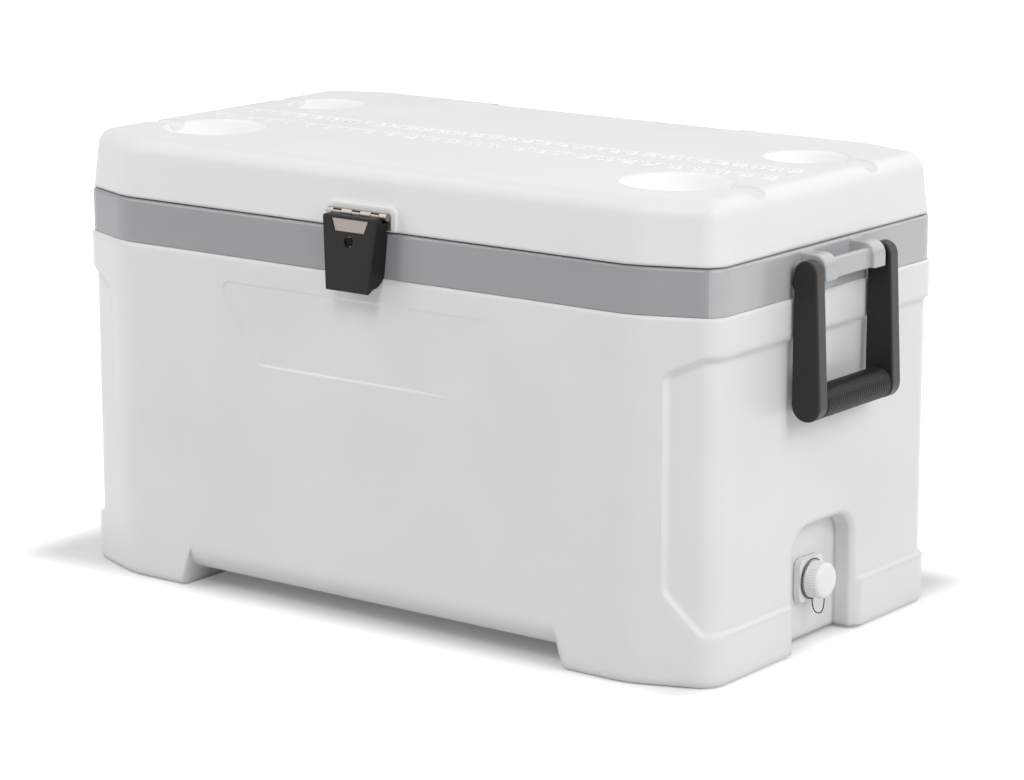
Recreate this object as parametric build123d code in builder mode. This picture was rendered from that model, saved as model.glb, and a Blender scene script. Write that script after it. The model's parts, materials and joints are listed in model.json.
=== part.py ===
"""Insulated chest cooler: hinged lid, front latch, two swing handles and a screw drain.

Millimetres. The chest stands on Z = 0, centred on the origin, with its front towards -Y
and the drain at the +X end.
"""
import math
import os

from build123d import *

os.makedirs("parts", exist_ok=True)

# Chest outside: a rectangle with a long facet across each corner
BODY_LENGTH = 742.0
BODY_DEPTH = 421.0
BODY_HEIGHT = 330.8
FACET_LENGTH = 76.0
FACET_DEPTH = 29.6
END_ROUND = 27.0
SIDE_ROUND = 80.0
LEAST_ROUND = 12.0
BAND_ROUND = 3.0
FOOT_ROUND = 7.0
SHELL_WALL = 3.5

# Clearances: glued or clamped pieces, turning pieces, and hardware that swings past a surface
FIT = 0.3
RUN = 0.4
SWING = 0.8

# Feet, and the rounded toe between them
UNDERSIDE = 16.0
TOE_ROUND = 27.0
TOE_WIDTH_LOW = 456.0
TOE_WIDTH_HIGH = 430.0
END_UNDERSIDE = 3.0
END_NOTCH_LOW = 132.0
END_NOTCH_SLOPE = 0.67

# Recess of each end, which runs round the corner on to the facets
RECESS_DEPTH = 4.2
RECESS_SLOPE = 3.8
RECESS_LOW = 46.0
RECESS_HIGH = 296.0
RECESS_WRAP = 47.0
RECESS_WRAP_LOW = 85.0
RECESS_WRAP_HIGH = 279.0
RECESS_CORNER = 12.0

# Shallow panel in the front
PANEL_DEPTH = 1.4
PANEL_HIGH = 308.0
PANEL_LOW = 230.0
PANEL_WIDTH_HIGH = 356.0
PANEL_WIDTH_LOW = 252.0
PANEL_CORNER = 9.0

# Liner
CHEST_WALL = 42.0
LINER_WALL = 3.0
FLOOR = 38.0
FLOOR_ROUND = 5.0

# Collar
COLLAR_HEIGHT = 42.2
COLLAR_SETBACK = 2.0
COLLAR_WALL = 4.5
COLLAR_FLANGE = 14.0
COLLAR_ROUND = 3.5

# Lid
LID_HEIGHT = 56.4
SEAM = 1.2
LID_SETBACK = 3.0
LID_DRAFT = 7.0
LID_ROUND = 17.0
LID_WALL = 3.5
LID_PLUG = 12.0
PLUG_GAP = 4.0
CUP_DEPTH = 20.0
CUP_RIM_ROUND = 3.5
CUP_FLOOR_ROUND = 6.0
FRONT_CUP_DIAMETER = 100.0
FRONT_CUP_X = 272.0
FRONT_CUP_Y = -102.0
BACK_CUP_DIAMETER = 76.0
BACK_CUP_X = 288.0
BACK_CUP_Y = 84.0
GROOVE_WIDTH = 22.0
GROOVE_DEPTH = 8.0
REAR_STEP_WIDTH = 300.0
REAR_STEP_DEPTH = 28.0
REAR_STEP_DROP = 2.5

# Upright pads on the lid that carry hinge leaves
PAD_PROUD = 2.0
PAD_HEIGHT = 23.0
PAD_CORNER = 8.0
PAD_EDGE = 1.5
LATCH_PAD_WIDTH = 82.0
HINGE_PAD_WIDTH = 76.0

# Lid hinges
HINGE_X = 215.0
HINGE_LENGTH = 64.0
HINGE_KNUCKLES = 5
HINGE_BARREL = 10.0
HINGE_PIN = 5.0
HINGE_LEAF = 2.0
HINGE_LEAF_HIGH = 15.0
HINGE_LEAF_LOW = 34.0

# Screws of hinges, latch and keeper
SCREW_HEAD = 8.0
SCREW_HEAD_HIGH = 1.8
SCREW_SHANK = 3.6
SCREW_BITE = 3.0

# Latch
LATCH_BARREL = 7.2
LATCH_BARREL_LENGTH = 70.0
LATCH_PIN = 3.4
LATCH_PIN_RISE = 15.5
LATCH_LEAF = 1.6
LATCH_TAB = 9.0
LATCH_TAB_PITCH = 22.0
LATCH_TOP_WIDTH = 64.0
LATCH_LOW_WIDTH = 49.0
LATCH_RISE = 14.7
LATCH_DROP = 55.0
LATCH_FRONT_HIGH = 16.5
LATCH_FRONT_LOW = 22.5
LATCH_HEEL_ROUND = 14.0
LATCH_WALL = 2.5
LATCH_CORNER = 3.0
LATCH_EDGE = 1.2
LATCH_LIP = 10.0
WINDOW_WIDTH_HIGH = 43.0
WINDOW_WIDTH_LOW = 34.0
WINDOW_HEIGHT = 11.8
WINDOW_DROP = 2.8
WINDOW_SUNK = 0.9
LATCH_HOLE = 10.5
LATCH_HOLE_DROP = 8.5
LATCH_LEAF_DROP = 42.0
KEEPER_WIDTH = 26.0
KEEPER_HEIGHT = 15.0
KEEPER_PROUD = 5.0
KEEPER_DROP = 36.0

# Handles
HANDLE_WIDTH = 138.0
ARM_THICK = 14.0
ARM_ROUND = 2.0
PIVOT_OUT = 16.0
PIVOT_DROP = 19.0
HUB_DIAMETER = 24.0
ARM_DROP = 117.0
ARM_LEAN = 2.5
ARM_END_DIAMETER = 30.0
HEEL_DIAMETER = 16.0
HEEL_BACK = 6.2
HEEL_DROP = 9.0
PEG_DIAMETER = 9.0
PEG_SEAT = 14.0
CROSSBAR_DIAMETER = 19.0
GRIP_DIAMETER = 29.5
GRIP_RIBS = 14
GRIP_CUFF = 5.0
GRIP_RIB_DEPTH = 0.9

# Handle brackets of the collar
LUG_GAP = 4.5
LUG_WIDTH = 20.0
LUG_REACH = 26.0
LUG_TOP_DROP = 3.5
LUG_HEIGHT = 23.5
LUG_ROUND = 13.0
LUG_EDGE = 1.5
BAR_SETBACK = 4.5
BAR_THICK = 8.0
BAR_HEIGHT = 19.0
BAR_TOP_DROP = 9.0
BAR_ROUND = 3.0

# Drain
POCKET_DEPTH = 20.0
POCKET_WIDTH = 100.0
POCKET_HIGH = 114.5
POCKET_CORNER = 25.0
POCKET_EDGE = 4.0
POCKET_FLARE = 45.0
DRAIN_Z = 59.0
FLANGE_SIDE = 40.0
FLANGE_CORNER = 7.0
FLANGE_THICK = 6.0
GASKET_THICK = 1.5
SPOUT_DIAMETER = 26.0
SPOUT_LENGTH = 13.0
STEM_DIAMETER = 24.0
DRAIN_BORE = 17.0
NUT_ACROSS = 32.0
NUT_THICK = 8.0
CAP_DIAMETER = 35.0
CAP_END = 3.0
CAP_ROUND = 2.5
CAP_FLUTES = 18
CAP_FLUTE_RADIUS = 1.3
SEAL_THICK = 1.5
TETHER_RING_DIAMETER = 38.6
TETHER_RING_THICK = 1.6
SWIVEL_WIDTH = 2.4
SWIVEL_DEPTH = 1.6
SWIVEL_PROUD = 0.6
TETHER_DIAMETER = 1.8
TETHER_HANG = 13.0
TETHER_RUN_SHARE = 0.45

# Levels and faces that follow from the sizes above
half_length = BODY_LENGTH / 2
half_depth = BODY_DEPTH / 2
seam_z = BODY_HEIGHT + COLLAR_HEIGHT
lid_base = seam_z + SEAM
lid_top = lid_base + LID_HEIGHT
collar_end = half_length - COLLAR_SETBACK
collar_side = half_depth - COLLAR_SETBACK
pad_face = half_depth - LID_SETBACK + PAD_PROUD
toe_top = UNDERSIDE + TOE_ROUND
side_turn = math.atan2(FACET_DEPTH, FACET_LENGTH)
end_turn = math.pi / 2 - side_turn


def chest_plan(inset):
    """Outline of the chest seen from above, moved in by inset all round."""
    end_x = half_length - inset
    end_y = half_depth - FACET_DEPTH - inset * math.tan(end_turn / 2)
    side_x = half_length - FACET_LENGTH - inset * math.tan(side_turn / 2)
    side_y = half_depth - inset
    with BuildSketch() as plan:
        with BuildLine():
            Polyline(
                (end_x, end_y),
                (side_x, side_y),
                (-side_x, side_y),
                (-end_x, end_y),
                (-end_x, -end_y),
                (-side_x, -side_y),
                (side_x, -side_y),
                (end_x, -end_y),
                close=True,
            )
        make_face()
        end_corners = plan.vertices().filter_by(lambda v: abs(v.Y) < (end_y + side_y) / 2)
        fillet(end_corners, max(END_ROUND - inset, LEAST_ROUND))
        side_corners = plan.vertices().filter_by(lambda v: abs(v.Y) > side_y - FIT)
        fillet(side_corners, max(SIDE_ROUND - inset, LEAST_ROUND))
    return plan.sketch


def trapezoid(width_low, width_high, low, high):
    """Upright trapezoid, centred on the vertical axis."""
    with BuildSketch() as shape:
        with BuildLine():
            Polyline(
                (-width_low / 2, low),
                (width_low / 2, low),
                (width_high / 2, high),
                (-width_high / 2, high),
                close=True,
            )
        make_face()
    return shape.sketch


def end_recesses():
    """Space of both end recesses, with sloping borders."""
    front_x = half_length - RECESS_WRAP
    corner_x = half_length - END_ROUND / 2
    past_x = half_length + RECESS_DEPTH
    with BuildPart() as space:
        with BuildSketch():
            add(chest_plan(-RECESS_DEPTH))
            add(chest_plan(RECESS_DEPTH), mode=Mode.SUBTRACT)
        extrude(amount=BODY_HEIGHT)
        with BuildSketch(Plane.XZ) as window:
            with BuildLine():
                Polyline(
                    (front_x, RECESS_WRAP_LOW),
                    (corner_x, RECESS_LOW),
                    (past_x, RECESS_LOW),
                    (past_x, RECESS_HIGH),
                    (corner_x, RECESS_HIGH),
                    (front_x, RECESS_WRAP_HIGH),
                    close=True,
                )
            make_face()
            fillet(window.vertices().filter_by(lambda v: v.X < past_x - FIT), RECESS_CORNER)
            mirror(about=Plane.YZ)
        extrude(amount=BODY_DEPTH, both=True, mode=Mode.INTERSECT)
        core = extrude(chest_plan(RECESS_DEPTH - FIT), amount=BODY_HEIGHT, mode=Mode.PRIVATE)
        floor_edges = space.edges().filter_by(lambda e: core.is_inside(e @ 0.5))
        seams = floor_edges.filter_by(Axis.Z).filter_by(lambda e: abs(e.center().X) > front_x + FIT)
        chamfer(floor_edges - seams, RECESS_SLOPE)
    return space.part


def toe_notches():
    """Space under the chest between its feet, with a rounded toe at front and back."""
    with BuildPart() as space:
        with BuildSketch(Plane.XZ):
            add(trapezoid(TOE_WIDTH_LOW, TOE_WIDTH_HIGH, 0, toe_top))
        extrude(amount=BODY_DEPTH, both=True)
        with BuildSketch(Plane.YZ) as keep:
            with Locations((0, (UNDERSIDE + BODY_HEIGHT) / 2)):
                Rectangle(BODY_DEPTH, BODY_HEIGHT - UNDERSIDE)
            fillet(keep.vertices().group_by(Axis.Y)[0], TOE_ROUND)
        extrude(amount=BODY_LENGTH, both=True, mode=Mode.SUBTRACT)
        with BuildSketch(Plane.YZ):
            end_high = END_NOTCH_LOW - 2 * END_NOTCH_SLOPE * END_UNDERSIDE
            add(trapezoid(END_NOTCH_LOW, end_high, 0, END_UNDERSIDE))
        extrude(amount=BODY_LENGTH, both=True)
    return space.part


def pocket_outline(grow):
    """Arch of the drain pocket in the end wall, grown by a wall thickness."""
    with BuildSketch() as arch:
        with Locations((0, (POCKET_HIGH + grow) / 2)):
            Rectangle(POCKET_WIDTH + 2 * grow, POCKET_HIGH + grow)
        fillet(arch.vertices().group_by(Axis.Y)[-1], POCKET_CORNER + grow)
    return arch.sketch


pocket_x = half_length - RECESS_DEPTH - POCKET_DEPTH


def chest_hollow(gap):
    """Space inside the shell, less a gap all round, with the pocket's housing left out."""
    floor_z = UNDERSIDE + SHELL_WALL + gap
    foot_z = END_UNDERSIDE + SHELL_WALL + gap
    step_z = toe_top + SHELL_WALL + gap
    with BuildPart() as space:
        with BuildSketch(Plane.XY.offset(floor_z)):
            add(chest_plan(TOE_ROUND + SHELL_WALL + gap))
        extrude(amount=step_z - floor_z)
        with BuildSketch(Plane.XY.offset(foot_z)):
            add(chest_plan(RECESS_DEPTH + SHELL_WALL + gap))
            Rectangle(TOE_WIDTH_LOW + 2 * (SHELL_WALL + gap), BODY_DEPTH, mode=Mode.SUBTRACT)
        extrude(amount=step_z - foot_z)
        with BuildSketch(Plane.XY.offset(step_z)):
            Rectangle(2 * (half_length - RECESS_WRAP - SHELL_WALL - gap), BODY_DEPTH)
            add(chest_plan(SHELL_WALL + PANEL_DEPTH + gap), mode=Mode.INTERSECT)
            add(chest_plan(RECESS_DEPTH + SHELL_WALL + gap))
        extrude(amount=BODY_HEIGHT - step_z)
        with BuildSketch(Plane.YZ.offset(pocket_x - SHELL_WALL - gap)):
            add(pocket_outline(SHELL_WALL + gap))
        extrude(amount=POCKET_DEPTH + RECESS_DEPTH + SHELL_WALL, mode=Mode.SUBTRACT)
    return space.part


with BuildPart() as body_shell:
    with BuildSketch():
        add(chest_plan(0))
    extrude(amount=BODY_HEIGHT)
    fillet(body_shell.faces().sort_by(Axis.Z)[-1].edges(), BAND_ROUND)
    fillet(body_shell.faces().sort_by(Axis.Z)[0].edges(), FOOT_ROUND)
    add(end_recesses(), mode=Mode.SUBTRACT)
    add(toe_notches(), mode=Mode.SUBTRACT)
    with BuildSketch(Plane.YZ.offset(pocket_x)):
        add(pocket_outline(0))
    extrude(amount=POCKET_DEPTH + RECESS_DEPTH, mode=Mode.SUBTRACT)
    with BuildSketch(Plane.YZ.offset(pocket_x + POCKET_DEPTH - POCKET_EDGE)):
        add(pocket_outline(0))
    extrude(amount=POCKET_EDGE + RECESS_DEPTH, taper=-POCKET_FLARE, mode=Mode.SUBTRACT)
    with BuildSketch(Plane.XZ.offset(half_depth - PANEL_DEPTH)) as front_panel:
        add(trapezoid(PANEL_WIDTH_LOW, PANEL_WIDTH_HIGH, PANEL_LOW, PANEL_HIGH))
        fillet(front_panel.vertices(), PANEL_CORNER)
    extrude(amount=PANEL_DEPTH, mode=Mode.SUBTRACT)
    add(chest_hollow(0), mode=Mode.SUBTRACT)
    with Locations(Plane.YZ.offset(pocket_x - SHELL_WALL / 2)):
        with Locations((0, DRAIN_Z)):
            Cylinder(STEM_DIAMETER / 2 + FIT, 2 * SHELL_WALL, mode=Mode.SUBTRACT)

# Screw points on each hinge leaf, on the latch's fixed leaf and on its keeper
hinge_axis_y = pad_face + HINGE_LEAF / 2 + HINGE_BARREL / 2
hinge_axis_z = seam_z + SEAM / 2
leaf_face = pad_face + HINGE_LEAF
leaf_clear = HINGE_BARREL / 2 + SWING
lid_screw_z = hinge_axis_z + leaf_clear + HINGE_LEAF_HIGH / 2
body_screw_z = hinge_axis_z - leaf_clear - HINGE_LEAF_LOW / 2
hinge_screw_x = [side * HINGE_X + half * HINGE_LENGTH / 4 for side in (-1, 1) for half in (-1, 1)]
pin_y = -(pad_face + LATCH_LEAF / 2 + LATCH_BARREL / 2)
pin_z = seam_z + LATCH_PIN_RISE
fixed_leaf_low = lid_base + LATCH_LEAF
fixed_leaf_high = pin_z - LATCH_BARREL / 2 - SWING
latch_screw_z = (fixed_leaf_low + fixed_leaf_high) / 2
latch_screw_x = [-LATCH_TAB_PITCH / 2, LATCH_TAB_PITCH / 2]
keeper_low = seam_z - KEEPER_DROP
keeper_screw_z = keeper_low + KEEPER_HEIGHT / 2
keeper_screw_x = [-KEEPER_WIDTH / 4, KEEPER_WIDTH / 4]
TO_REAR = (-90, 0, 0)
TO_FRONT = (90, 0, 0)


def screw_holes(xs, face, z, turn):
    """Pilot holes sunk behind an upright face."""
    with BuildPart() as holes:
        with Locations([Location((x, face, z), turn) for x in xs]):
            Cylinder(SCREW_SHANK / 2 + FIT / 2, 2 * SCREW_BITE)
    return holes.part


def screws(xs, face, z, turn, grip):
    """Pan head screws whose heads sit on an upright face and whose shanks run on past grip."""
    with BuildPart() as group:
        with Locations([Location((x, face, z), turn) for x in xs]):
            Cylinder(
                SCREW_HEAD / 2,
                SCREW_HEAD_HIGH,
                align=(Align.CENTER, Align.CENTER, Align.MIN),
            )
            Cylinder(
                SCREW_SHANK / 2,
                grip + SCREW_BITE - FIT,
                align=(Align.CENTER, Align.CENTER, Align.MAX),
            )
    return group.part


# Collar, with a bracket of two lugs and a bar at each end
pivot_x = collar_end + PIVOT_OUT
pivot_z = seam_z - PIVOT_DROP
arm_inner = HANDLE_WIDTH / 2 - ARM_THICK
lug_outer = arm_inner - LUG_GAP
lug_inner = lug_outer - LUG_WIDTH
lug_front = collar_end + LUG_REACH
lug_back = collar_end - COLLAR_WALL / 2
lug_top = seam_z - LUG_TOP_DROP
lug_low = lug_top - LUG_HEIGHT
bar_front = lug_front - BAR_SETBACK
bar_top = seam_z - BAR_TOP_DROP
mouth_inset = COLLAR_SETBACK + COLLAR_FLANGE


def handle_bracket():
    """Right hand bracket: lugs with a rounded top, and a bar between them clear of the wall."""
    with BuildPart() as bracket:
        for side in (-1, 1):
            with BuildSketch(Plane.XZ.offset(side * (lug_outer + lug_inner) / 2)) as lug:
                with Locations(((lug_back + lug_front) / 2, (lug_top + lug_low) / 2)):
                    Rectangle(lug_front - lug_back, LUG_HEIGHT)
                fillet(lug.vertices().group_by(Axis.X)[-1].sort_by(Axis.Y)[-1], LUG_ROUND)
            extrude(amount=LUG_WIDTH / 2, both=True)
        fillet(bracket.faces().filter_by(Axis.Y).edges(), LUG_EDGE)
        with BuildSketch(Plane.XZ):
            with Locations((bar_front - BAR_THICK / 2, bar_top - BAR_HEIGHT / 2)):
                RectangleRounded(BAR_THICK, BAR_HEIGHT, BAR_ROUND)
        extrude(amount=lug_inner + LUG_EDGE, both=True)
        for side in (-1, 1):
            socket_y = side * (lug_outer - (PEG_SEAT + RUN) / 2)
            with Locations(Location((pivot_x, socket_y, pivot_z), TO_FRONT)):
                Cylinder(PEG_DIAMETER / 2 + FIT, PEG_SEAT + RUN, mode=Mode.SUBTRACT)
    return bracket.part


with BuildPart() as collar:
    with BuildSketch(Plane.XY.offset(BODY_HEIGHT)):
        add(chest_plan(COLLAR_SETBACK))
    extrude(amount=COLLAR_HEIGHT)
    fillet(collar.faces().sort_by(Axis.Z)[-1].edges(), COLLAR_ROUND)
    with BuildSketch(Plane.XY.offset(BODY_HEIGHT)):
        add(chest_plan(COLLAR_SETBACK + COLLAR_WALL))
    extrude(amount=COLLAR_HEIGHT - COLLAR_WALL, mode=Mode.SUBTRACT)
    with BuildSketch(Plane.XY.offset(seam_z - COLLAR_WALL)):
        add(chest_plan(mouth_inset))
    extrude(amount=COLLAR_WALL, mode=Mode.SUBTRACT)
    right_bracket = handle_bracket()
    add(right_bracket)
    mirror(right_bracket, about=Plane.YZ)
    add(screw_holes(hinge_screw_x, collar_side, body_screw_z, TO_REAR), mode=Mode.SUBTRACT)
    add(screw_holes(keeper_screw_x, -collar_side, keeper_screw_z, TO_FRONT), mode=Mode.SUBTRACT)

# Liner: an inner tub whose rim fills the collar's mouth
with BuildPart() as inner_liner:
    with BuildSketch(Plane.XY.offset(FLOOR - LINER_WALL)):
        add(chest_plan(CHEST_WALL - LINER_WALL))
    extrude(amount=seam_z - FLOOR + LINER_WALL)
    with BuildSketch(Plane.XY.offset(seam_z - COLLAR_WALL)):
        add(chest_plan(mouth_inset + FIT))
    extrude(amount=COLLAR_WALL)
    fillet(inner_liner.faces().sort_by(Axis.Z)[0].edges(), FLOOR_ROUND + LINER_WALL)
    with BuildSketch(Plane.XY.offset(FLOOR)):
        add(chest_plan(CHEST_WALL))
    extrude(amount=seam_z - FLOOR, mode=Mode.SUBTRACT)
    fillet(inner_liner.faces().filter_by(Plane.XY).sort_by(Axis.Z)[1].edges(), FLOOR_ROUND)
    with Locations(Location((half_length - CHEST_WALL, 0, DRAIN_Z), (0, 90, 0))):
        Cylinder(STEM_DIAMETER / 2 + FIT, 3 * LINER_WALL, mode=Mode.SUBTRACT)

# Insulation of the chest, moulded between shell, collar and liner
with BuildPart() as body_foam:
    add(chest_hollow(FIT))
    with BuildSketch(Plane.XY.offset(BODY_HEIGHT)):
        add(chest_plan(COLLAR_SETBACK + COLLAR_WALL + FIT))
    extrude(amount=COLLAR_HEIGHT - COLLAR_WALL - FIT)
    with BuildSketch(Plane.XY.offset(FLOOR - LINER_WALL - FIT)):
        add(chest_plan(CHEST_WALL - LINER_WALL - FIT))
    extrude(amount=seam_z, mode=Mode.SUBTRACT)
    with Locations(Location((pocket_x, 0, DRAIN_Z), (0, 90, 0))):
        Cylinder(STEM_DIAMETER / 2 + FIT, 2 * CHEST_WALL, mode=Mode.SUBTRACT)

# Lid
cups = [
    (side * x, y, diameter)
    for side in (-1, 1)
    for x, y, diameter in (
        (FRONT_CUP_X, FRONT_CUP_Y, FRONT_CUP_DIAMETER),
        (BACK_CUP_X, BACK_CUP_Y, BACK_CUP_DIAMETER),
    )
]
groove_radius = (GROOVE_WIDTH**2 / 4 + GROOVE_DEPTH**2) / (2 * GROOVE_DEPTH)
rear_step_y = half_depth - LID_SETBACK - REAR_STEP_DEPTH


def lid_hollow(gap):
    """Space inside the lid, less a gap, clear of the cup holders, their grooves and the rear step."""
    wall = LID_WALL + gap
    with BuildPart() as space:
        with BuildSketch(Plane.XY.offset(lid_base)):
            add(chest_plan(LID_SETBACK + wall))
        extrude(amount=LID_HEIGHT - wall, taper=LID_DRAFT)
        fillet(space.faces().sort_by(Axis.Z)[-1].edges(), LID_ROUND - wall)
        for x, y, diameter in cups:
            with Locations((x, y, lid_top - CUP_DEPTH - wall)):
                Cylinder(
                    diameter / 2 + wall,
                    CUP_DEPTH + wall,
                    align=(Align.CENTER, Align.CENTER, Align.MIN),
                    mode=Mode.SUBTRACT,
                )
            with Locations((x, y, lid_top - GROOVE_DEPTH - wall)):
                Box(
                    half_length,
                    GROOVE_WIDTH + 2 * wall,
                    GROOVE_DEPTH + wall,
                    align=(Align.MIN if x > 0 else Align.MAX, Align.CENTER, Align.MIN),
                    mode=Mode.SUBTRACT,
                )
        with Locations((0, rear_step_y - wall, lid_top - REAR_STEP_DROP - wall)):
            Box(
                REAR_STEP_WIDTH + 2 * wall,
                half_depth,
                REAR_STEP_DROP + wall,
                align=(Align.CENTER, Align.MIN, Align.MIN),
                mode=Mode.SUBTRACT,
            )
    return space.part


def lid_pad(x, width, towards):
    """Upright pad on the drafted side of the lid: towards is -1 for the front, 1 for the rear."""
    thick = PAD_PROUD + PAD_HEIGHT * math.tan(math.radians(LID_DRAFT)) + LID_WALL / 2
    with BuildPart() as pad:
        with BuildSketch(Plane.XZ.offset(-towards * (pad_face - thick))) as face:
            with Locations((x, lid_base + PAD_HEIGHT / 2)):
                Rectangle(width, PAD_HEIGHT)
            fillet(face.vertices().group_by(Axis.Y)[-1], PAD_CORNER)
        extrude(amount=-towards * thick)
        fillet(pad.faces().sort_by(Axis.Y)[-1 if towards > 0 else 0].edges(), PAD_EDGE)
    return pad.part


with BuildPart() as lid_shell:
    with BuildSketch(Plane.XY.offset(lid_base)):
        add(chest_plan(LID_SETBACK))
    extrude(amount=LID_HEIGHT, taper=LID_DRAFT)
    fillet(lid_shell.faces().sort_by(Axis.Z)[-1].edges(), LID_ROUND)
    for x, y, diameter in cups:
        with Locations((x, y, lid_top)):
            Cylinder(diameter / 2, 2 * CUP_DEPTH, mode=Mode.SUBTRACT)
    cup_edges = lid_shell.edges().filter_by(GeomType.CIRCLE).filter_by(Plane.XY)
    cup_edges = cup_edges.filter_by(lambda e: e.is_closed)
    fillet(cup_edges.filter_by(lambda e: e.center().Z > lid_top - CUP_DEPTH / 2), CUP_RIM_ROUND)
    fillet(
        lid_shell.edges().filter_by(lambda e: e.is_closed and abs(e.center().Z - lid_top + CUP_DEPTH) < FIT),
        CUP_FLOOR_ROUND,
    )
    for x, y, diameter in cups:
        with BuildSketch(Plane.YZ.offset(x)):
            with Locations((y, lid_top - GROOVE_DEPTH + groove_radius)):
                Circle(groove_radius)
        extrude(amount=math.copysign(half_length, x), mode=Mode.SUBTRACT)
    with Locations((0, rear_step_y, lid_top - REAR_STEP_DROP)):
        Box(
            REAR_STEP_WIDTH,
            half_depth,
            LID_HEIGHT,
            align=(Align.CENTER, Align.MIN, Align.MIN),
            mode=Mode.SUBTRACT,
        )
    add(lid_pad(0, LATCH_PAD_WIDTH, -1))
    add(lid_pad(-HINGE_X, HINGE_PAD_WIDTH, 1))
    add(lid_pad(HINGE_X, HINGE_PAD_WIDTH, 1))
    add(lid_hollow(0), mode=Mode.SUBTRACT)
    add(screw_holes(hinge_screw_x, pad_face, lid_screw_z, TO_REAR), mode=Mode.SUBTRACT)
    add(screw_holes(latch_screw_x, -pad_face, latch_screw_z, TO_FRONT), mode=Mode.SUBTRACT)

# Pan under the lid: a flange that rests on the rim and a plug that fills the mouth
plug_inset = CHEST_WALL + PLUG_GAP
pan_base = seam_z + FIT
pan_flange_inset = LID_SETBACK + LID_WALL + 2 * FIT
with BuildPart() as lid_liner:
    with BuildSketch(Plane.XY.offset(seam_z - LID_PLUG)):
        add(chest_plan(plug_inset))
    extrude(amount=LID_PLUG + FIT)
    fillet(lid_liner.faces().sort_by(Axis.Z)[0].edges(), FLOOR_ROUND)
    with BuildSketch(Plane.XY.offset(pan_base)):
        add(chest_plan(pan_flange_inset))
    extrude(amount=LINER_WALL)
    with BuildSketch(Plane.XY.offset(seam_z - LID_PLUG + LINER_WALL)):
        add(chest_plan(plug_inset + LINER_WALL))
    extrude(amount=2 * LID_PLUG, mode=Mode.SUBTRACT)

with BuildPart() as lid_foam:
    add(lid_hollow(FIT))
    with Locations((0, 0, pan_base + LINER_WALL + FIT)):
        Box(
            BODY_LENGTH,
            BODY_DEPTH,
            LID_HEIGHT,
            align=(Align.CENTER, Align.CENTER, Align.MAX),
            mode=Mode.SUBTRACT,
        )
    with BuildSketch(Plane.XY.offset(seam_z - LID_PLUG + LINER_WALL + FIT)):
        add(chest_plan(plug_inset + LINER_WALL + FIT))
    extrude(amount=LID_PLUG + FIT)

# Lid hinges at the rear: two leaves and a pin each
knuckle = HINGE_LENGTH / HINGE_KNUCKLES
lid_knuckles = range(1, HINGE_KNUCKLES, 2)
body_knuckles = range(0, HINGE_KNUCKLES, 2)
TO_SIDE = (0, 90, 0)


def hinge_leaf(x, back_face, turns, up, height):
    """Leaf on an upright face: up is 1 for the lid's leaf above the pin, -1 for the one below."""
    edge = Align.MIN if up > 0 else Align.MAX
    with BuildPart() as leaf:
        with Locations((x, back_face, hinge_axis_z + up * leaf_clear)):
            Box(HINGE_LENGTH, leaf_face - back_face, height, align=(Align.CENTER, Align.MIN, edge))
        for turn in turns:
            knuckle_x = x - HINGE_LENGTH / 2 + knuckle * (turn + 0.5)
            with Locations((knuckle_x, back_face, hinge_axis_z)):
                Box(
                    knuckle - RUN,
                    leaf_face - back_face,
                    leaf_clear + height / 2,
                    align=(Align.CENTER, Align.MIN, edge),
                )
            with Locations(Location((knuckle_x, hinge_axis_y, hinge_axis_z), TO_SIDE)):
                Cylinder(HINGE_BARREL / 2, knuckle - RUN)
        with Locations(Location((x, hinge_axis_y, hinge_axis_z), TO_SIDE)):
            Cylinder(HINGE_PIN / 2 + FIT / 2, HINGE_LENGTH, mode=Mode.SUBTRACT)
        screw_z = hinge_axis_z + up * (leaf_clear + height / 2)
        screw_xs = [x - HINGE_LENGTH / 4, x + HINGE_LENGTH / 4]
        with Locations([Location((screw_x, leaf_face, screw_z), TO_REAR) for screw_x in screw_xs]):
            Cylinder(SCREW_SHANK / 2 + FIT / 2, HINGE_LENGTH / 4, mode=Mode.SUBTRACT)
    return leaf.part


def hinge_pin(x):
    """Pin with a flat button on each end, just clear of the barrel."""
    with BuildPart() as pin:
        with Locations(Location((x, hinge_axis_y, hinge_axis_z), TO_SIDE)):
            Cylinder(HINGE_PIN / 2, HINGE_LENGTH)
        for side in (-1, 1):
            button_x = x + side * (HINGE_LENGTH / 2 + HINGE_LEAF / 2)
            with Locations(Location((button_x, hinge_axis_y, hinge_axis_z), TO_SIDE)):
                Cylinder(HINGE_BARREL / 2, HINGE_LEAF)
    return pin.part


# Latch: a leaf on the lid, a swinging leaf inside a moulded cover, and a keeper on the collar
latch_high = seam_z + LATCH_RISE
latch_low = seam_z - LATCH_DROP
latch_back = -(collar_side + SWING)
front_high_y = -(pad_face + LATCH_FRONT_HIGH)
front_low_y = -(pad_face + LATCH_FRONT_LOW)
front_lean = math.atan2(front_high_y - front_low_y, latch_high - latch_low)
latch_front = Plane(
    origin=(0, front_high_y, latch_high),
    x_dir=(1, 0, 0),
    z_dir=(0, -math.cos(front_lean), math.sin(front_lean)),
)
heel_z = keeper_low
barrel_front = pin_y - LATCH_BARREL / 2 - SWING
tab_xs = [-LATCH_TAB_PITCH, 0, LATCH_TAB_PITCH]
flange_top = latch_high - LATCH_WALL - FIT
hole_y = -(LATCH_RISE + LATCH_HOLE_DROP) / math.cos(front_lean)
leaf_depth = LATCH_WALL + FIT

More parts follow.
